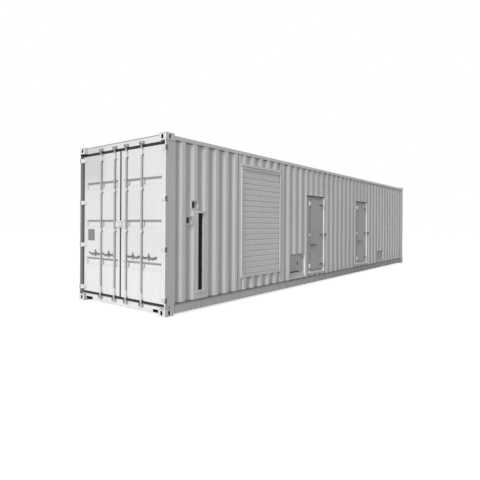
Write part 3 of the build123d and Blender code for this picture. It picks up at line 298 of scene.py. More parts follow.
basePaint = {
    "color": grey(0.79, 0.785), "second": (0.76, 0.762, 0.76), "dirtAndShade": (0.2, 0.19, 0.175),
    "bare": (0.42, 0.41, 0.4), "streaks": 0.07, "specks": 0.1, "foot": 0.12,
    "creviceWidth": 0.022, "creviceDirtAndShade": 0.45, "edge": 0.003, "wear": 0.3,
    "rough": 0.52, "gloss": 0.35, "dents": 0.0025, "peel": 0.00012,
}
paintSet = {  # what each paint has of its own
    "body_paint": {},
    "wall_paint": {"marks": [
        farEndShade,
        # painted shade in the valleys of the waves, deeper towards the far end
        shade(0.52, 0.6, blue=0.515, side=(1.16, 1.1745), soft=0.006),
        shade(0.42, 0.6, blue=0.415, along=(2.39, 6.2), side=(1.16, 1.186), soft=0.008),
        # painted shade on the far crests of the service side, painted light on their slopes
        shade(0.36, 0.55, along=(2.4, 6.2), across=(-1.3, -1.203), up=(0.2, 2.82)),
        shade(0.74, 0.8, blue=0.735, along=(2.4, 6.2), across=(-1.201, -1.176), up=(0.2, 2.78),
              soft=0.003),  # the far waves stand out more
        *overDoor((-1.56, -0.61), 0.5, 0.55, 0.74, 0.735),
        *overDoor((1.435, 2.385), 0.46, 0.6, 0.66, 0.655),
        shade(0.3, 0.6, along=(4.437, 4.459), across=(-1.3, -1), up=(0.26, 2.8)),
        footShadowLine,
        # painted shadow under the top rails, in the valleys
        shade(0.1, 0.9, side=(1.05, 1.19), up=(2.787, 2.82)),
        # painted shadow under the shutter frame, in the valleys
        shade(0.12, 0.8, along=(-4.13, -2.76), across=(-1.19, -1.05), up=(0.395, 0.42)),
        shade(0.1, 0.85, along=(4.432, 4.464), across=(-1.3, -1), up=(2.35, 2.7), soft=0.008),
        shade(0.15, 0.8, blue=0.14, along=(0.73, 0.77), across=(-1.3, -1), up=(0.24, 0.28), soft=0.02,
              breakUp=(70, 70, 9)),
    ]},
    "frame_paint": {"marks": [
        farEndShade,
        # painted shade inside the corner castings
        shade(0.02, side=(1.059, 1.2), end=(5.92, 6.0945), up=(0.003, 0.115), soft=0.0006),
        shade(0.02, side=(1.059, 1.197), end=(5.92, 6.0945), up=(2.781, 2.893),
              soft=0.0006),  # inside the corner castings
        # painted light on the front of the door posts, painted shade on their service side
        shade(0.92, 0.8, blue=0.915, along=(-6.1, -6.0945), up=(0.118, 2.778), soft=0.0005),
        shade(0.64, 0.7, blue=0.635, along=(-6.0945, -5.87), across=(-1.25, -1.2), up=(0.118, 2.778),
              soft=0.0005),
        # painted shade
        shade(0.3, 0.85, along=(-6.0945, -6.03), side=(1.185, 1.1915), up=(0.1, 2.79),
              soft=0.001),  # the inner side of the door posts
        # painted shade on the posts in the gap over the doors
        shade(0.03, along=(-6.0945, -6), side=(1.1, 1.1915), up=(2.738, 2.79), soft=0.001),
        # painted shade along the top edge of the top castings at the door end
        shade(0.35, 0.8, along=(-6.1, -6.09), up=(2.886, 2.9), soft=0.002),
        shade(0.3, 0.8, along=(6.07, 6.1), side=(1.2, 1.22), up=(0.12, 2.78), soft=0.01),
        shade(0.35, 0.7, blue=0.34, up=(0.115, 0.12), soft=0.002),
        shade(0.35, 0.7, blue=0.34, up=(2.776, 2.78), soft=0.002),
    ]},
    "rail_paint": {
        "color": grey(0.7, 0.695), "second": (0.67, 0.672, 0.67), "foot": 0.3, "streaks": 0.14,
        "creviceDirtAndShade": 0.5,
        "marks": [
            # painted shade: the far end of the rails is darker
            shade(0.27, 0.9, blue=0.265, along=(2.5, 8), soft=7.5),
            # painted shadow along the top of the bottom rail
            shade(0.16, 0.6, blue=0.155, up=(0.165, 0.18), soft=0.005),
            shade(0.2, 0.3, across=(-1.3, -1), up=(0.15, 0.19), soft=0.02),
            shade(0.1, 0.6, along=(-2.49, -2.41), across=(-1.3, -1), up=(0.055, 0.085), soft=0.03,
                  breakUp=(80, 80, 7)),
        ],
    },
    # the inside of each recess is painted darker than the walls: painted shade
    "recess_paint_shaded": {"color": (0.54, 0.542, 0.54), "second": (0.51, 0.512, 0.51), "marks": [
        shade(0.79, blue=0.785, side=(1.19, 1.3), soft=0.006),  # the rims match the walls
        # painted light on the sides of the keeper blocks and on the right jamb return
        *bothDoors(0.92, -1.4, -1.304, side=(1.167, 1.2), soft=0.001),
        *bothDoors(0.97, -0.664, -0.6, soft=0.003),
        shade(0.36, 0.8, blue=0.355, up=(0.22, 0.262), soft=0.006),
    ]},
    "leaf_paint_shaded": {  # the leaves and the flap are painted darker than the walls: painted shade, as they sit back in recesses; the rose plates are darker than the leaves
        "color": (0.48, 0.482, 0.48), "second": (0.45, 0.452, 0.45), "dents": 0.004,
        "marks": bothDoors(0.1, -1.289, -1.227, side=(1.1885, 1.2), up=(0.919, 0.981), soft=0.0005),
    },
    "door_paint": {
        "streaks": 0.04,
        "marks": [shadedCorner, litFoot] + [m for low in bandLows for m in bandShades(low)],
    },
    "hardware_paint": {  # painted shade on the outer sides of the hinge knuckles
        "marks": [shade(0.08, 0.9, side=(1.2, 1.22), soft=0.003)],
    },
    "header_paint": {
        # painted shade on the upper corner and along the top edge of the header
        "marks": [shadedCorner, shade(0.28, 0.8, along=(-6.04, -6.02), up=(2.875, 2.9), soft=0.003)],
    },
    "sill_paint": {
        # painted light towards the foot, and painted shade in the gap under the doors
        "marks": [litFoot, shade(0.03, along=(-6.04, -6.03), up=(0.13, 0.1395), soft=0.001)],
    },
    "box_paint": {"marks": [
        # painted shade on the sloped sill of the recess, painted light on its right return
        shade(0.45, 0.7, side=(1.1, 1.198), up=(0.2, 0.345), soft=0.012),
        shade(0.97, along=(-1.64, -1.6185), up=(0.22, 0.77), soft=0.002),
    ]},
    "shutter_paint": {
        # more crevice darkening here gives painted shade beside the slats; each groove between slats gets
        # painted shade
        "color": (0.785, 0.79, 0.785), "creviceDirtAndShade": 0.6, "creviceWidth": 0.02, "dents": 0.0012,
        "grooveShade": {"first": 0.478, "pitch": 0.111, "height": 0.009, "color": grey(0.3), "amount": 0.4},
    },
    "grille_paint": {"color": grey(0.5), "second": grey(0.46), "creviceDirtAndShade": 0.7},
    "strap_steel": {
        "color": grey(0.13), "second": grey(0.17), "bare": (0.3, 0.29, 0.28),
        "marks": bothDoors(0.88, -0.667, -0.6, soft=0.003),
    },
    "white_steel": {"color": grey(0.88), "second": grey(0.84), "wear": 0.5},
    "bar_steel": {
        "color": (0.53, 0.535, 0.54), "second": (0.48, 0.485, 0.49), "wear": 0.5, "creviceWidth": 0.015,
        "rough": 0.42,
        "marks": [
            shade(0.16, side=(0.19, 0.545), up=(0.85, 0.965), soft=0.006),
            shade(0.16, side=(0.603, 1.1), up=(0.85, 0.965), soft=0.006),
            # painted shade where the bars pass the dark gap over the doors
            shade(0.2, 0.7, up=(2.738, 2.79), soft=0.006),
        ],
    },
    "zinc_steel": {
        "color": (0.54, 0.545, 0.55), "second": (0.48, 0.485, 0.49), "wear": 0.5, "rough": 0.44,
    },
    "dark_steel": {
        "color": grey(0.12, 0.122), "second": grey(0.09), "bare": grey(0.3), "dirtAndShade": (0.05, 0.045, 0.04),
        "rough": 0.45,
    },
    "weld_bead": {
        "color": grey(0.72, 0.715), "second": grey(0.66, 0.655), "creviceDirtAndShade": 0.6, "peel": 0.0006, "foot": 0.3,
        "marks": [footShadowLine],
    },
}
paints = {name: makePaint(name, {**basePaint, **s}) for name, s in paintSet.items()}

wearSet = {"edge": 0.002, "dust": (0.4, 0.39, 0.37), "worn": grey(0.35, 0.34)}


def makeDark(name, s):  # rubber, dark panels and small dark metal
    n = Nodes(name)
    cloud = n.noise(s["cloud"], 4)
    color = n.blend(n.span(cloud, 0.35, 0.7), s["color"], s["second"])
    for m in s.get("marks", ()):
        color = n.blend(n.mark(m), color, m["color"])
    dust = n.times(n.span(n.noise(grainSet["dust"], 4), 0.5, 0.8), s["dust"])
    color = n.blend(dust, color, wearSet["dust"])
    edge, softNormal = n.edge(wearSet["edge"])
    worn = n.times(n.span(edge, 0.03, 0.2), s["wear"])
    color = n.blend(worn, color, wearSet["worn"])
    normal = n.bump(n.noise(s["grain"], 3), s["depth"], softNormal)
    rough = n.span(cloud, 0.3, 0.7, s["rough"] - 0.08, s["rough"] + 0.08)
    return n.surface(color, rough, normal, s.get("gloss", 0.5))


rubber = {
    "color": grey(0.012, 0.013), "second": grey(0.022), "cloud": (6, 6, 3),
    "dust": 0.1, "wear": 0.05, "grain": (120, 120, 120), "depth": 0.0003, "rough": 0.62,
}
darkSet = {
    "black_rubber": rubber,
    "seal_rubber": {  # the side strips are dark grey, the head and foot are black
        **rubber, "color": grey(0.013, 0.014), "second": grey(0.024),
        "marks": [
            shade(0.11, side=(1.147, 1.167), up=(0.15, 2.765), soft=0.003),
            shade(0.6, side=(1.14, 1.19), up=(0.19, 0.226)),
            shade(0.6, side=(1.14, 1.19), up=(2.7, 2.735)),
        ],
    },
    "dark_panel": {
        "color": (0.012, 0.013, 0.014), "second": grey(0.02, 0.021), "cloud": (3, 3, 2),
        "dust": 0.05, "wear": 0.1, "grain": (300, 300, 300), "depth": 0.0001, "rough": 0.6, "gloss": 0.12,
    },
    "lever_metal": {
        "color": grey(0.07), "second": grey(0.1), "cloud": (20, 20, 20),
        "dust": 0.08, "wear": 0.4, "grain": (400, 400, 400), "depth": 0.0001, "rough": 0.42,
    },
    "plate_metal": {
        "color": grey(0.2), "second": grey(0.25), "cloud": (14, 14, 22),
        "dust": 0.2, "wear": 0.4, "grain": (260, 260, 40), "depth": 0.0002, "rough": 0.4,
    },
}
paints.update({name: makeDark(name, s) for name, s in darkSet.items()})


def makePly(name, s):
    n = Nodes(name)
    board = n.math("FRACT", n.math("DIVIDE", n.along, s["board"]))
    inside = n.within(board, *s["edges"])
    grain = n.noise(s["grain"], 6, 0.65)
    color = n.blend(n.span(grain, 0.3, 0.7), s["color"], s["second"])
    scuff = n.times(n.span(n.noise(grainSet["scuff"], 5), 0.5, 0.75), s["scuff"])
    color = n.blend(scuff, color, s["worn"])
    color = n.blend(inside, s["joint"], color)
    return n.surface(color, n.span(grain, 0.3, 0.7, *s["rough"]), n.bump(grain, s["depth"]))


plySet = {
    "board": 1.22, "color": (0.3, 0.2, 0.11), "second": (0.22, 0.14, 0.075),
    "worn": (0.36, 0.3, 0.23), "joint": (0.02, 0.015, 0.01),
    "edges": (0.004, 0.996, 0.003), "grain": (0.8, 26, 4), "depth": 0.0006,
    "rough": (0.5, 0.72), "scuff": 0.5,
}
paints["floor_ply"] = makePly("floor_ply", plySet)
print("materials made:", len(paints))

nodePaints = {
    "wall_paint": (
        "service_wall_near", "service_wall_box", "service_wall_middle", "service_wall_far",
        "shutter_wall_bands", "door_wall_bands", "back_wall", "end_wall", "slot_surround",
    ),
    "frame_paint": (
        "door_end_posts", "blind_end_posts", "top_corner_fittings", "bottom_corner_fittings",
    ),
    "rail_paint": ("bottom_side_rails", "cross_members"),
    "recess_paint_shaded": ("personnel_door_frame_1", "personnel_door_frame_2"),
    "door_paint": ("cargo_door_left", "cargo_door_right"),
    "hardware_paint": ("cargo_hardware_left", "cargo_hardware_right"),
    "header_paint": ("door_header",),
    "sill_paint": ("door_sill",),
    "box_paint": ("connection_box",),
    "leaf_paint_shaded": ("personnel_door_1", "personnel_door_2", "connection_flap"),
    "shutter_paint": ("shutter_slats",),
    "grille_paint": ("hatch_grille",),
    "strap_steel": ("personnel_hinges_1", "personnel_hinges_2"),
    "white_steel": ("personnel_hinge_lugs",),
    "bar_steel": (
        "lock_bar_left_inner", "lock_bar_left_outer", "lock_bar_right_inner", "lock_bar_right_outer",
    ),
    "zinc_steel": ("bar_keepers", "cargo_hinge_pins"),
    "lever_metal": ("door_lever_1", "door_lever_2"),
    "seal_rubber": ("cargo_gasket_left", "cargo_gasket_right"),
    "black_rubber": ("door_buffers", "gland_plugs"),
    "dark_panel": ("slot_panel",),
    "floor_ply": ("floor",),
}


def dressNodes():
    named = {node: paint for paint, group in nodePaints.items() for node in group}
    for name, obj in nodes.items():
        obj.data.materials.clear()
        obj.data.materials.append(paints[named.get(name, "body_paint")])


dressNodes()
print("nodes dressed")

doorOut = (-1, 0, 0)  # straight out of the cargo door end
wallOut = (0, -1, 0)  # straight out of the service side


def turnTo(away):  # a frame whose Z points along away
    return Vector(away).to_track_quat("Z", "Y").to_matrix()


def circle(count, twist=0.0):  # evenly spaced angles
    return [twist + math.tau * k / count for k in range(count)]


def joinRings(bm, low, high, shift=0):
    count = len(low)
    for k in range(count):
        j = (k + 1) % count
        bm.faces.new((low[k], low[j], high[(j + shift) % count], high[(k + shift) % count]))


def closeRings(bm, loops):  # skins one loop to the next and caps both ends
    for low, high in zip(loops, loops[1:]):
        joinRings(bm, low, high)
    bm.faces.new(loops[-1])
    bm.faces.new(list(reversed(loops[0])))


def addRings(bm, place, away, rings, sides, twist=0.0):  # rings are pairs of distance and radius
    turn, middle = turnTo(away), Vector(place)
    closeRings(bm, [[
        bm.verts.new(middle + turn @ Vector((radius * math.cos(a), radius * math.sin(a), out)))
        for a in circle(sides, twist)
    ] for out, radius in rings])


def addBolt(bm, place, away, size, proud):  # a round washer under a six-sided head
    washer = [(0, 1.45 * size), (0.16 * proud, 1.45 * size), (0.22 * proud, 1.3 * size)]
    addRings(bm, place, away, washer, 14)
    head = [(0.2 * proud, size), (0.84 * proud, size), (proud, 0.8 * size)]
    addRings(bm, place, away, head, 6, twist=0.3)


def addRivet(bm, place, away, size, proud):
    dome = [(0, 1), (0.35, 0.93), (0.7, 0.7), (0.93, 0.38), (1, 0.12)]
    addRings(bm, place, away, [(d * proud, r * size) for d, r in dome], 12)


def addBox(bm, low, high, bevel=0.0):
    made = bmesh.ops.create_cube(bm, size=1)["verts"]
    middle = [(a + b) / 2 for a, b in zip(low, high)]
    for v in made:
        v.co = Vector([m + c * (b - a) for m, c, a, b in zip(middle, v.co, low, high)])
    if bevel:
        edges = list(dict.fromkeys(e for v in made for e in v.link_edges))
        bmesh.ops.bevel(bm, geom=edges, offset=bevel, segments=2, profile=0.7, affect="EDGES")


def cutFine(path, step):  # more points along a path, about one step apart
    fine = []
    for a, b in zip(path, path[1:]):
        parts = max(1, round((b - a).length / step))
        fine += [a.lerp(b, k / parts) for k in range(parts)]
    return fine + [path[-1]]


def addTube(bm, points, radius, sides=6, ripple=0.0, step=None, closed=False, seed=3):
    draw = random.Random(seed)
    path = [Vector(p) for p in points]
    if closed:
        path.append(path[0])
    if step:
        path = cutFine(path, step)
    if closed:
        path.pop()
    loops = []
    count = len(path)
    angles = circle(sides)
    for i, spot in enumerate(path):
        before = path[i - 1] if closed or i else spot
        after = path[(i + 1) % count] if closed or i < count - 1 else spot
        turn = turnTo((after - before).normalized())
        r = radius * (1 + ripple * draw.uniform(-1, 1))
        loops.append([
            bm.verts.new(spot + turn @ Vector((r * math.cos(a), r * math.sin(a), 0))) for a in angles
        ])
    pairs = list(zip(loops, loops[1:])) + ([(loops[-1], loops[0])] if closed else [])
    for low, high in pairs:  # each loop joins the next where the two lie closest
        shift = min(range(sides), key=lambda q: sum(
            (low[k].co - high[(k + q) % sides].co).length for k in range(sides)
        ))
        joinRings(bm, low, high, shift)
    if not closed:
        bm.faces.new(loops[-1])
        bm.faces.new(list(reversed(loops[0])))


def spread(low, high, margin, count):  # even places between two ends, a margin in from both
    return [low + margin + k * (high - low - 2 * margin) / (count - 1) for k in range(count)]


def makePiece(name, bm, paint, body="container", smooth=35):
    bmesh.ops.recalc_face_normals(bm, faces=bm.faces)
    mesh = bpy.data.meshes.new(name)
    bm.to_mesh(mesh)
    bm.free()
    mesh.materials.append(paints[paint])
    piece = addObject(name, mesh)
    mesh.polygons.foreach_set("use_smooth", [True] * len(mesh.polygons))
    mesh.set_sharp_from_angle(angle=math.radians(smooth))
    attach(piece, body)


# places that the fittings of both cargo doors share, in metres
doorSet = {
    "face": -6.034, "footFace": -6.039, "bladeFace": -6.043, "bars": (0.165, 0.578),
    "sides": (0.015, 1.138), "ends": (0.178, 2.742), "catchOffset": 0.18,
    "handleHeight": 0.912,
}
doorBoltSet = {
    "guides": ((0.184, 0.318), (1.312, 1.364), (2.012, 2.064), (2.59, 2.7)),
    "out": 0.0285, "boltInset": 0.012, "studInset": 0.011, "catchRise": 0.016,
    "hinges": (0.252, 1.053, 1.854, 2.655),
    "bladeBolts": ((1.083, 0), (1.116, 0.017), (1.116, -0.017)),
    "bolt": (0.0055, 0.005),  # radius, then height
    "stud": (0.0075, 0.009), "catchStud": (0.0055, 0.006),
    "bladeBolt": (0.0085, 0.009),
}


def addDoorBolts(side, word, body, s):
    light = bmesh.new()
    dark = bmesh.new()
    foot = doorSet["footFace"]
    for place in doorSet["bars"]:
        for low, high in s["guides"]:
            for edge in (-s["out"], s["out"]):
                y = side * place + edge
                addBolt(light, (foot, y, high - s["boltInset"]), doorOut, *s["bolt"])
                addBolt(dark, (foot, y, low + s["studInset"]), doorOut, *s["stud"])
        y = side * (place + doorSet["catchOffset"])
        for rise in (-s["catchRise"], s["catchRise"]):
            addBolt(dark, (foot, y, doorSet["handleHeight"] + rise), doorOut, *s["catchStud"])
    for z in s["hinges"]:
        for out, rise in s["bladeBolts"]:
            addBolt(light, (doorSet["bladeFace"], side * out, z + rise), doorOut, *s["bladeBolt"])
    makePiece("doorBolts" + word, light, "body_paint", body)
    makePiece("guideStuds" + word, dark, "dark_steel", body)


hookSet = {
    "rings": ((0.043, 0.017), (-0.042, 0.015)),  # rise from the handle, then half height
    "out": 0.017, "wide": 0.011, "size": 0.0042,
    "pad": (0.012, 0.0052, 0.017, 0.026),  # front, back, half width and half height
    "bevel": 0.002, "sides": 16,
}


def addHandleHooks(side, word, body, s):  # seal rings over and under each handle catch
    bm = bmesh.new()
    face, middle = doorSet["face"], doorSet["handleHeight"]
    front, back, half, tall = s["pad"]
    for place in doorSet["bars"]:
        y = side * (place + doorSet["catchOffset"])
        for rise, reach in s["rings"]:
            ring = [
                (face - s["out"], y + s["wide"] * math.cos(a), middle + rise + reach * math.sin(a))
                for a in circle(s["sides"])
            ]
            addTube(bm, ring, s["size"], closed=True)
        low, high = (face - front, y - half, middle - tall), (face - back, y + half, middle + tall)
        addBox(bm, low, high, s["bevel"])
    makePiece("handleHooks" + word, bm, "dark_steel", body)


ribSet = {"out": (0.009, 0.02), "inward": 0.4, "depth": 0.0035, "size": 0.0034, "step": 0.3}


def addSealRibs(side, word, body, s):  # lips pressed on the sealing strip round the leaf
    bm = bmesh.new()
    x = doorSet["face"] + s["depth"]
    (inner, outer), (low, high) = doorSet["sides"], doorSet["ends"]
    for out in s["out"]:
        near, far = side * (inner - s["inward"] * out), side * (outer + out)
        loop = [(x, near, low - out), (x, far, low - out), (x, far, high + out), (x, near, high + out)]
        addTube(bm, loop, s["size"], step=s["step"], closed=True)
    makePiece("sealRibs" + word, bm, "seal_rubber", body)


lipSet = {
    "front": 0.002, "back": 0.004,
    "head": (-0.015, 0.002),  # from the top edge of the leaf
    "foot": (-0.004, 0.002), "middle": (-0.003, 0.033),
    "centrePlate": (1.386, 1.514), "bevel": 0.0006,
}


def addSealLips(side, word, body, s):  # flat lips that lap onto the edges of the leaf
    bm = bmesh.new()
    front, back = doorSet["face"] - s["front"], doorSet["face"] + s["back"]
    inner, outer = sorted(side * y for y in doorSet["sides"])
    low, high = doorSet["ends"]
    for end, (a, b) in ((high, s["head"]), (low, s["foot"])):
        addBox(bm, (front, inner, end + a), (back, outer, end + b), s["bevel"])
    if side > 0:  # the left leaf carries the lip that closes the middle gap
        for a, b in ((low, s["centrePlate"][0]), (s["centrePlate"][1], high)):
            addBox(bm, (front, s["middle"][0], a), (back, s["middle"][1], b), s["bevel"])
    makePiece("sealLips" + word, bm, "black_rubber", body)


trimSet = {
    "Right": ((0.006, 0.03), (1.125, 1.148)), "Left": ((1.125, 1.148),),
    "front": 0.0006, "back": 0.003, "bevel": 0.0004,
}


def addLeafTrim(side, word, body, s):  # thin folded plates along the upright edges of the leaf
    bm = bmesh.new()
    front, back = doorSet["face"] - s["front"], doorSet["face"] + s["back"]
    low, high = doorSet["ends"][0] + lipSet["foot"][1], doorSet["ends"][1] + lipSet["head"][0]
    for span in s[word]:
        inner, outer = sorted(side * y for y in span)
        addBox(bm, (front, inner, low), (back, outer, high), s["bevel"])
    makePiece("leafTrim" + word, bm, "door_paint", body)


bridgeSet = {
    "half": 0.035, "front": 0.0003, "back": 0.004,
    "ends": (-0.004, 0.126),  # from the foot of the band
    "cheek": (0.0105, 0.006, 0.122),  # depth, width and height of the plate at each side
    "bevel": 0.001,
}


def addBridges(side, word, body, s):  # flush plates behind the lock bars where they cross a band
    bm = bmesh.new()
    face, half = doorSet["face"], s["half"]
    front, back = face - s["front"], face + s["back"]
    deep, wide, tall = s["cheek"]
    for place in doorSet["bars"]:
        y = side * place
        for low in bandLows:
            foot, head = (low + end for end in s["ends"])
            addBox(bm, (front, y - half, foot), (back, y + half, head), s["bevel"])
            for edge in (y - half, y + half - wide):
                addBox(bm, (face, edge, low), (face + deep, edge + wide, low + tall), s["bevel"])
    makePiece("bandBridges" + word, bm, "door_paint", body)


for door in ((-1, "Right", "right_door"), (1, "Left", "left_door")):
    addDoorBolts(*door, doorBoltSet)
    addHandleHooks(*door, hookSet)
    addSealRibs(*door, ribSet)
    addSealLips(*door, lipSet)
    addLeafTrim(*door, trimSet)
    addBridges(*door, bridgeSet)
print("cargo door fittings made")

notchLipSet = {"x": (-6.0345, -6.0335), "y": (0.858, 1.056), "z": (0.0308, 0.0385), "bevel": 0.0002}


def addNotchShadeLips(s):  # black strips under the sill at the notches: painted shade, as the notches lie in shade
    bm = bmesh.new()
    (front, back), (low, high) = s["x"], s["z"]
    for side in (-1, 1):
        inner, outer = sorted(side * y for y in s["y"])
        addBox(bm, (front, inner, low), (back, outer, high), s["bevel"])
    makePiece("notchShadeLips", bm, "dark_panel")


addNotchShadeLips(notchLipSet)

centreBoltSet = {
    "face": -6.056, "heights": (1.412, 1.488), "bolt": (0.008, 0.008),
    "halves": (("Right", "right_door", (-0.025,)), ("Left", "left_door", (0.03, 0.075, 0.118))),
}


def addCentreBolts(s):
    for word, body, places in s["halves"]:
        bm = bmesh.new()
        for y in places:
            for z in s["heights"]:
                addBolt(bm, (s["face"], y, z), doorOut, *s["bolt"])
        makePiece("centreBolts" + word, bm, "body_paint", body)


addCentreBolts(centreBoltSet)

barePlateSet = {
    "y": (0.806, 1.019), "z": (1.141, 1.354), "face": -6.034, "thick": 0.002,
    "bevel": 0.0007, "inset": 0.009, "rivet": (0.0035, 0.0018),
}


def addBarePlate(s):
    bm = bmesh.new()
    front = s["face"] - s["thick"]
    addBox(bm, (front, s["y"][0], s["z"][0]), (s["face"], s["y"][1], s["z"][1]), s["bevel"])
    for y in (s["y"][0] + s["inset"], s["y"][1] - s["inset"]):
        for z in (s["z"][0] + s["inset"], s["z"][1] - s["inset"]):
            addRivet(bm, (front, y, z), doorOut, *s["rivet"])
    makePiece("barePlate", bm, "plate_metal", "left_door")


addBarePlate(barePlateSet)
print("plates made")

# how the corrugated walls run, to lay weld beads on them
waveSet = {"first": -5.735, "pitch": 0.278, "flat": 0.072, "slope": 0.068, "depth": 0.036, "face": 1.207}


def waveFace(x, s=waveSet):  # how far out the wall's surface lies
    step = (x - s["first"]) % s["pitch"]
    climb = min(step - s["flat"], s["pitch"] - step)
    if abs(x) > -s["first"]:  # past the last wave
        climb = abs(x) + s["first"]
    return s["face"] - s["depth"] * min(1, max(0, climb / s["slope"]))


def wavePath(low, high, side, z, s=waveSet):  # the bends of one wall between two places along it
    last = s["slope"] - s["first"]
    bends = [low, high, -last, last]
    start = s["first"]
    while start < -s["first"] + 0.001:
        bends += [start, start + s["flat"], start + s["flat"] + s["slope"], start + s["pitch"] - s["slope"]]
        start += s["pitch"]
    bends = sorted(x for x in bends if low <= x <= high and abs(x) <= last or x in (low, high))
    return [(x, side * waveFace(x), z) for x in bends]


def layBead(bm, points, s, **more):
    addTube(bm, points, s["size"], ripple=s["ripple"], step=s["step"], **more)


wallBeadSet = {
    "size": 0.0045, "step": 0.022, "ripple": 0.16, "foot": 0.1795, "head": 2.8045,
    "end": 5.886, "corner": (5.8845, 1.1725),
    "serviceFoot": ((-5.886, -5.388), (-5.174, -4.228), (-4.148, -2.747), (-2.667, 5.886)),
    "serviceHead": ((-5.886, -4.228), (-4.148, -2.747), (-2.667, 5.886)),
}


def addWallBeads(s):
    bm = bmesh.new()
    for z, spans in ((s["foot"], s["serviceFoot"]), (s["head"], s["serviceHead"])):
        for low, high in spans:
            layBead(bm, wavePath(low, high, -1, z), s)
        layBead(bm, wavePath(-s["end"], s["end"], 1, z), s, seed=5)
    cornerX, cornerY = s["corner"]
    for y in (-cornerY, cornerY):
        for x in (-cornerX, cornerX):
            layBead(bm, [(x, y, s["foot"]), (x, y, s["head"])], s, seed=9)
    makePiece("wallBeads", bm, "weld_bead")


addWallBeads(wallBeadSet)

frameBeadSet = {
    "size": 0.0038, "step": 0.02, "ripple": 0.16, "face": -1.2065,
    "boxes": (  # left, right, foot and head of each frame let into the wall
        (-2.338, -1.612, 0.202, 0.783),
        (3.242, 3.913, 0.287, 0.593),
        (-5.652, -5.486, 1.45, 1.59),
        (-5.52, -5.356, 1.71, 1.854),
    ),
    "door": (-1.563, -0.61, 0.232, 2.178),
    "seam": (2.18, 2.802, 0.0005),  # foot, head and how deep it sinks in
}


def addFrameBeads(s):
    bm = bmesh.new()
    y = s["face"]
    for a, b, low, high in s["boxes"]:
        layBead(bm, [(a, y, low), (b, y, low), (b, y, high), (a, y, high)], s, closed=True, seed=8)
    left, right, low, high = s["door"]
    foot, head, sink = s["seam"]
    for shift in doorShifts:
        a, b = left + shift, right + shift
        layBead(bm, [(a, y, low), (a, y, high), (b, y, high), (b, y, low)], s, seed=9)
        for x in (a, b):
            layBead(bm, [(x, sink - waveFace(x), z) for z in (foot, head)], s, seed=6)
    makePiece("frameBeads", bm, "weld_bead")


addFrameBeads(frameBeadSet)

fittingBeadSet = {
    "size": 0.0042, "step": 0.014, "ripple": 0.2, "side": 1.2125,
    "heights": (0.1195, 2.7765), "lengths": ((-6.092, -5.922), (5.922, 6.092)),
    "ends": (-5.9165, 5.9165), "rails": ((0.034, 0.174), (2.81, 2.862)),
}


def addFittingBeads(s):  # where posts and rails meet the corner castings
    bm = bmesh.new()
    sides = (-s["side"], s["side"])
    for z in s["heights"]:
        for y in sides:
            for low, high in s["lengths"]:
                layBead(bm, [(low, y, z), (high, y, z)], s)
    for x in s["ends"]:
        for y in sides:
            for low, high in s["rails"]:
                layBead(bm, [(x, y, low), (x, y, high)], s, seed=4)
    makePiece("fittingBeads", bm, "weld_bead")


addFittingBeads(fittingBeadSet)
print("weld beads laid")

shutterSet = {
    "frame": (-4.15, -2.745, 0.43, 2.57),  # left, right, foot and head
    "opening": (-4.12, -2.775, 0.478, 2.54), "face": -1.217,
    "screw": (0.0055, 0.0016),
    "sideScrews": (0.06, 6),  # margin and count
    "endScrews": (0.25, 4), "inset": 0.015, "footInset": 0.02,
    "seal": (-1.1985, -1.186, 0.007),  # front, back and width
    "bevel": 0.0015,
}


def addShutterTrim(s):
    left, right, low, high = s["frame"]
    screws = bmesh.new()
    for z in spread(low, high, *s["sideScrews"]):
        for x in (left + s["inset"], right - s["inset"]):
            addRivet(screws, (x, s["face"], z), wallOut, *s["screw"])
    for x in spread(left, right, *s["endScrews"]):
        for z in (low + s["footInset"], high - s["inset"]):
            addRivet(screws, (x, s["face"], z), wallOut, *s["screw"])
    makePiece("shutterScrews", screws, "zinc_steel")
    left, right, low, high = s["opening"]
    front, back, wide = s["seal"]
    seals = bmesh.new()
    for a, b in ((left, left + wide), (right - wide, right)):
        addBox(seals, (a, front, low), (b, back, high), s["bevel"])
    makePiece("shutterSeals", seals, "black_rubber")


addShutterTrim(shutterSet)
print("shutter trimmed")

slotSet = {
    "bolts": (0.56, 0.78, 1.0, 1.21, 1.41), "boltPlace": (-5.2215, -1.161),
    "bolt": (0.0055, 0.008), "rivetX": (-5.37, -5.281, -5.192),
    "rivetZ": (0.314, 1.666), "rivetFace": -1.217, "rivet": (0.005, 0.0015),
    "lips": ((-5.346, -5.339), (-5.2285, -5.216)), "lipY": (-1.1665, -1.161),
    "lipZ": (0.334, 1.646), "bevel": 0.0015,
}


def addSlotFittings(s):
    bm = bmesh.new()
    for z in s["bolts"]:
        addBolt(bm, (*s["boltPlace"], z), wallOut, *s["bolt"])
    for x in s["rivetX"]:
        for z in s["rivetZ"]:
            addRivet(bm, (x, s["rivetFace"], z), wallOut, *s["rivet"])
    makePiece("slotBolts", bm, "zinc_steel")
    brush = bmesh.new()  # a sealing lip on both sides of the dark panel
    for a, b in s["lips"]:
        addBox(brush, (a, s["lipY"][0], s["lipZ"][0]), (b, s["lipY"][1], s["lipZ"][1]), s["bevel"])
    makePiece("slotLips", brush, "dark_panel")


addSlotFittings(slotSet)

notchSet = {"x": (-6.0335, -5.975), "z": (0.0385, 0.0795), "y": (0.8575, 1.0565), "thick": 0.002}


def addNotchShadeBoxes(s):  # dark boxes let into the sill: painted shade inside the notches
    bm = bmesh.new()
    (front, back), (low, high), t = s["x"], s["z"], s["thick"]
    for side in (-1, 1):
        inner, outer = sorted(side * y for y in s["y"])
        addBox(bm, (back - t, inner, low), (back, outer, high))
        addBox(bm, (front, inner, low), (back, inner + t, high))
        addBox(bm, (front, outer - t, low), (back, outer, high))
        addBox(bm, (front, inner, low), (back, outer, low + t))
        addBox(bm, (front, inner, high - t), (back, outer, high))
    makePiece("notchShadeBoxes", bm, "black_rubber")


addNotchShadeBoxes(notchSet)

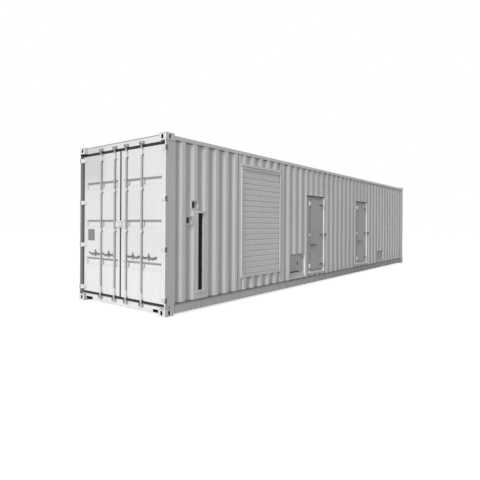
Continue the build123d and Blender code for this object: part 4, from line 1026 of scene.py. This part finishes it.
glandSet = {
    "plates": ((-5.562, 1.52), (-5.43, 1.782)),  # the middle of the dark plate in each pocket
    "size": (0.056, 0.1), "back": -1.163, "thick": 0.003, "bevel": 0.001,
    "screwX": 0.016, "screwZ": 0.042, "screw": (0.0035, 0.0018),
}


def addGlandPlates(s):
    plates = bmesh.new()
    screws = bmesh.new()
    wide, tall = s["size"]
    front = s["back"] - s["thick"]
    for x, z in s["plates"]:
        low, high = (x - wide / 2, front, z - tall / 2), (x + wide / 2, s["back"], z + tall / 2)
        addBox(plates, low, high, s["bevel"])
        for rise in (-s["screwZ"], s["screwZ"]):
            for out in (-s["screwX"], s["screwX"]):
                addRivet(screws, (x + out, front, z + rise), wallOut, *s["screw"])
    makePiece("glandPlates", plates, "black_rubber")
    makePiece("glandScrews", screws, "zinc_steel")


addGlandPlates(glandSet)

capSet = {"x": 4.448, "first": 0.44, "pitch": 0.257, "count": 10, "cap": (0.019, 0.014)}


def addWallCaps(s):  # the column of dark caps near the blind end
    bm = bmesh.new()
    for k in range(s["count"]):
        addBolt(bm, (s["x"], -waveFace(s["x"]), s["first"] + k * s["pitch"]), wallOut, *s["cap"])
    makePiece("wallCaps", bm, "dark_steel")


addWallCaps(capSet)

plugSet = {"place": (-6.007, -1.211, 0.146), "rings": ((0, 0.012), (0.0025, 0.012), (0.003, 0.0084))}


def addDrainPlug(s):
    bm = bmesh.new()
    addRings(bm, s["place"], wallOut, s["rings"], 20)
    makePiece("drainPlug", bm, "black_rubber")


addDrainPlug(plugSet)
print("side wall fittings made")

# the fittings of the first personnel door, each repeated along the wall for the second
strapBoltSet = {"pin": -0.648, "face": -1.192, "backs": (0.055, 0.11, 0.165), "bolt": (0.0055, 0.006)}
personnelSet = {
    "leaf": (-1.298, -0.672, 0.34, 2.09),  # left, right, foot and head
    "recess": (-1.555, -0.618, 0.24, 2.17),
    "hinges": (0.45, 1.2, 1.95), "leafFace": -1.187, "back": -1.161,
}


def addStrapBolts(number, shift, s):
    bm = bmesh.new()
    for z in personnelSet["hinges"]:
        for back in s["backs"]:
            addBolt(bm, (s["pin"] + shift - back, s["face"], z), wallOut, *s["bolt"])
    makePiece(f"strapBolts{number}", bm, "dark_steel", f"personnel_leaf_{number}")


jambLugSet = {"x": (-0.632, -0.6182), "y": (-1.204, -1.172), "half": 0.042, "bevel": 0.005}


def addJambLugs(number, shift, s):
    bm = bmesh.new()
    (left, right), (front, back) = s["x"], s["y"]
    for z in personnelSet["hinges"]:
        low, high = (left + shift, front, z - s["half"]), (right + shift, back, z + s["half"])
        addBox(bm, low, high, s["bevel"])
    makePiece(f"jambLugs{number}", bm, "white_steel")


lockSet = {
    "place": (-1.258, 0.875),
    "rings": ((0, 0.016), (0.004, 0.016), (0.0055, 0.013), (0.0055, 0.009), (0.008, 0.009), (0.009, 0.007)),
    "keyHole": (0.0105, 0.0085, 0.0012, 0.005),  # front, back, half width and half height
}


def addLockBarrel(number, shift, s):
    bm = bmesh.new()
    x, z = s["place"][0] + shift, s["place"][1]
    face = personnelSet["leafFace"]
    addRings(bm, (x, face, z), wallOut, s["rings"], 20)
    front, back, half, tall = s["keyHole"]
    addBox(bm, (x - half, face - front, z - tall), (x + half, face - back, z + tall))
    makePiece(f"lockBarrel{number}", bm, "lever_metal", f"personnel_leaf_{number}")


leafSealSet = {"out": 0.008, "lap": 0.006, "thick": 0.0038, "bevel": 0.001, "drip": (0.036, 0.02, 0.002)}


def addLeafSeal(number, shift, s):  # round the leaf, with a black drip strip under the head of the recess that also stands in for the shadow under the head (painted shade)
    bm = bmesh.new()
    left, right, low, high = personnelSet["leaf"]
    out, lap, back = s["out"], s["lap"], personnelSet["back"]
    for a, b, foot, head in (
        (left - out, left + lap, low - out, high + out),
        (right - lap, right + out, low - out, high + out),
        (left + lap, right - lap, low - out, low + lap),
        (left + lap, right - lap, high - lap, high + out),
    ):
        addBox(bm, (a + shift, back - s["thick"], foot), (b + shift, back, head), s["bevel"])
    left, right, low, high = personnelSet["recess"]
    deep, tall, bevel = s["drip"]
    addBox(bm, (left + shift, back - deep, high - tall), (right + shift, back, high), bevel)
    makePiece(f"leafSeal{number}", bm, "black_rubber")


padSet = {
    "x": -1.352, "face": -1.179, "heights": (0.43, 1.97),
    "size": (0.072, 0.112, 0.024),
    "shares": (1, 0.97, 0.88, 0.72, 0.5, 0.25),  # the dome's rings, from its rim inwards
    "sides": 24, "rim": 0.002,
}


def addPad(bm, place, s):  # an oval domed cover, facing out of the service side
    wide, tall, proud = s["size"]
    x, y, z = place
    loops = []
    for share in s["shares"]:
        out = proud * math.sqrt(max(0, 1 - share * share)) + (0 if share == 1 else s["rim"])
        loops.append([
            bm.verts.new((x + share * wide / 2 * math.cos(a), y - out, z + share * tall / 2 * math.sin(a)))
            for a in circle(s["sides"])
        ])
    closeRings(bm, loops)


# the pads are whiter than the walls: painted light, where they catch the light
def addKeeperPads(number, shift, s):
    bm = bmesh.new()
    for z in s["heights"]:
        addPad(bm, (s["x"] + shift, s["face"], z), s)
    makePiece(f"keeperPads{number}", bm, "white_steel", smooth=60)


for number, shift in enumerate(doorShifts, start=1):
    addStrapBolts(number, shift, strapBoltSet)
    addJambLugs(number, shift, jambLugSet)
    addLockBarrel(number, shift, lockSet)
    addLeafSeal(number, shift, leafSealSet)
    addKeeperPads(number, shift, padSet)

bufferSet = {"z": 1.205, "inset": 0.027, "sink": 0.0005, "rings": ((0, 0.008), (0.0012, 0.0064))}


def addBufferBolts(s):
    low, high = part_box("door_buffers")
    bm = bmesh.new()
    for x in (low[0] + s["inset"], high[0] - s["inset"]):
        addRings(bm, (x, low[1] + s["sink"], s["z"]), wallOut, s["rings"], 14)
    makePiece("bufferBolts", bm, "dark_steel")


addBufferBolts(bufferSet)
print("personnel doors fitted")

boxSet = {
    "flapFace": -1.185, "lock": (-1.729, 0.676),
    "lockRings": ((0, 0.025), (0.005, 0.025), (0.007, 0.021), (0.007, 0.012), (0.011, 0.011)),
    "latch": (-1.971, 0.52, 0.61, 0.014, 0.0015),  # middle, foot, head, half width and bevel
    "grip": (0.532, 0.58, 0.008, 0.016, 0.003),  # foot, head, half width, height and bevel
    "screwX": (-2.293, -2.262), "screwZ": (0.439, 0.68), "screw": (0.004, 0.002),
    "plate": 0.004,
}


def addFlapFittings(s):
    bm = bmesh.new()
    face = s["flapFace"]
    front = face - s["plate"]
    x, z = s["lock"]
    addRings(bm, (x, face, z), wallOut, s["lockRings"], 22)
    x, low, high, half, bevel = s["latch"]
    addBox(bm, (x - half, front, low), (x + half, face, high), bevel)
    low, high, half, proud, bevel = s["grip"]
    addBox(bm, (x - half, face - proud, low), (x + half, front, high), bevel)
    makePiece("flapLatch", bm, "dark_steel", "box_flap")
    screws = bmesh.new()
    for z in s["screwZ"]:
        for x in s["screwX"]:
            addRivet(screws, (x, front, z), wallOut, *s["screw"])
    makePiece("flapScrews", screws, "zinc_steel", "box_flap")


addFlapFittings(boxSet)

boxLiningSet = {
    "x": (-2.305, -1.847), "z": (0.341, 0.367), "inset": 0.0005,
    "sheet": (-1.128, -1.1255, 0.0005),  # front, back and bevel
    "lip": (-1.158, -1.15, 0.001), "lipInset": 0.004, "lipHalf": 0.0035,
}


def addBoxLining(s):
    bm = bmesh.new()
    (left, right), (low, high) = s["x"], s["z"]
    front, back, bevel = s["sheet"]
    addBox(bm, (left, front, low + s["inset"]), (right, back, high - s["inset"]), bevel)
    front, back, bevel = s["lip"]
    for z in (low + s["lipInset"], high - s["lipInset"]):  # rubber lips round the cables
        addBox(bm, (left, front, z - s["lipHalf"]), (right, back, z + s["lipHalf"]), bevel)
    makePiece("boxSlotLining", bm, "black_rubber")


addBoxLining(boxLiningSet)

hatchSet = {
    "x": (3.25, 3.905), "z": (0.295, 0.585), "face": -1.179, "inset": 0.011,
    "screw": (0.006, 0.003),
}


def addHatchScrews(s):
    bm = bmesh.new()
    (left, right), (low, high), inset = s["x"], s["z"], s["inset"]
    for x in (left + inset, (left + right) / 2, right - inset):
        for z in (low + inset, high - inset):
            addRivet(bm, (x, s["face"], z), wallOut, *s["screw"])
    makePiece("hatchScrews", bm, "dark_steel")


addHatchScrews(hatchSet)
print("box and hatch fitted")

floorSet = {
    "half": 60, "color": grey(0.4), "second": grey(0.385), "cloud": (0.3, 0.3, 0.3),
    "grain": (60, 60, 60), "depth": 0.0001, "rough": 0.7, "gloss": 0.1,
    "glow": 0.72,
}


def addFloor(s):
    mesh = bpy.data.meshes.new("studioFloor")
    half = s["half"]
    corners = [(-half, -half, 0), (half, -half, 0), (half, half, 0), (-half, half, 0)]
    mesh.from_pydata(corners, [], [(0, 1, 2, 3)])
    obj = addObject("studioFloor", mesh)
    n = Nodes("studioFloor")
    color = n.blend(n.span(n.noise(s["cloud"], 2), 0.3, 0.7), s["color"], s["second"])
    n.surface(color, s["rough"], n.bump(n.noise(s["grain"], 2), s["depth"]), s["gloss"])
    last = n.out.inputs["Surface"]
    glow = n.add("Emission", {"Strength": n.times(n.whiteRays(), s["glow"])}).outputs[0]
    n.feed(last, n.add("AddShader", {0: last.links[0].from_socket, 1: glow}).outputs[0])
    mesh.materials.append(n.made)


addFloor(floorSet)
print("floor laid")
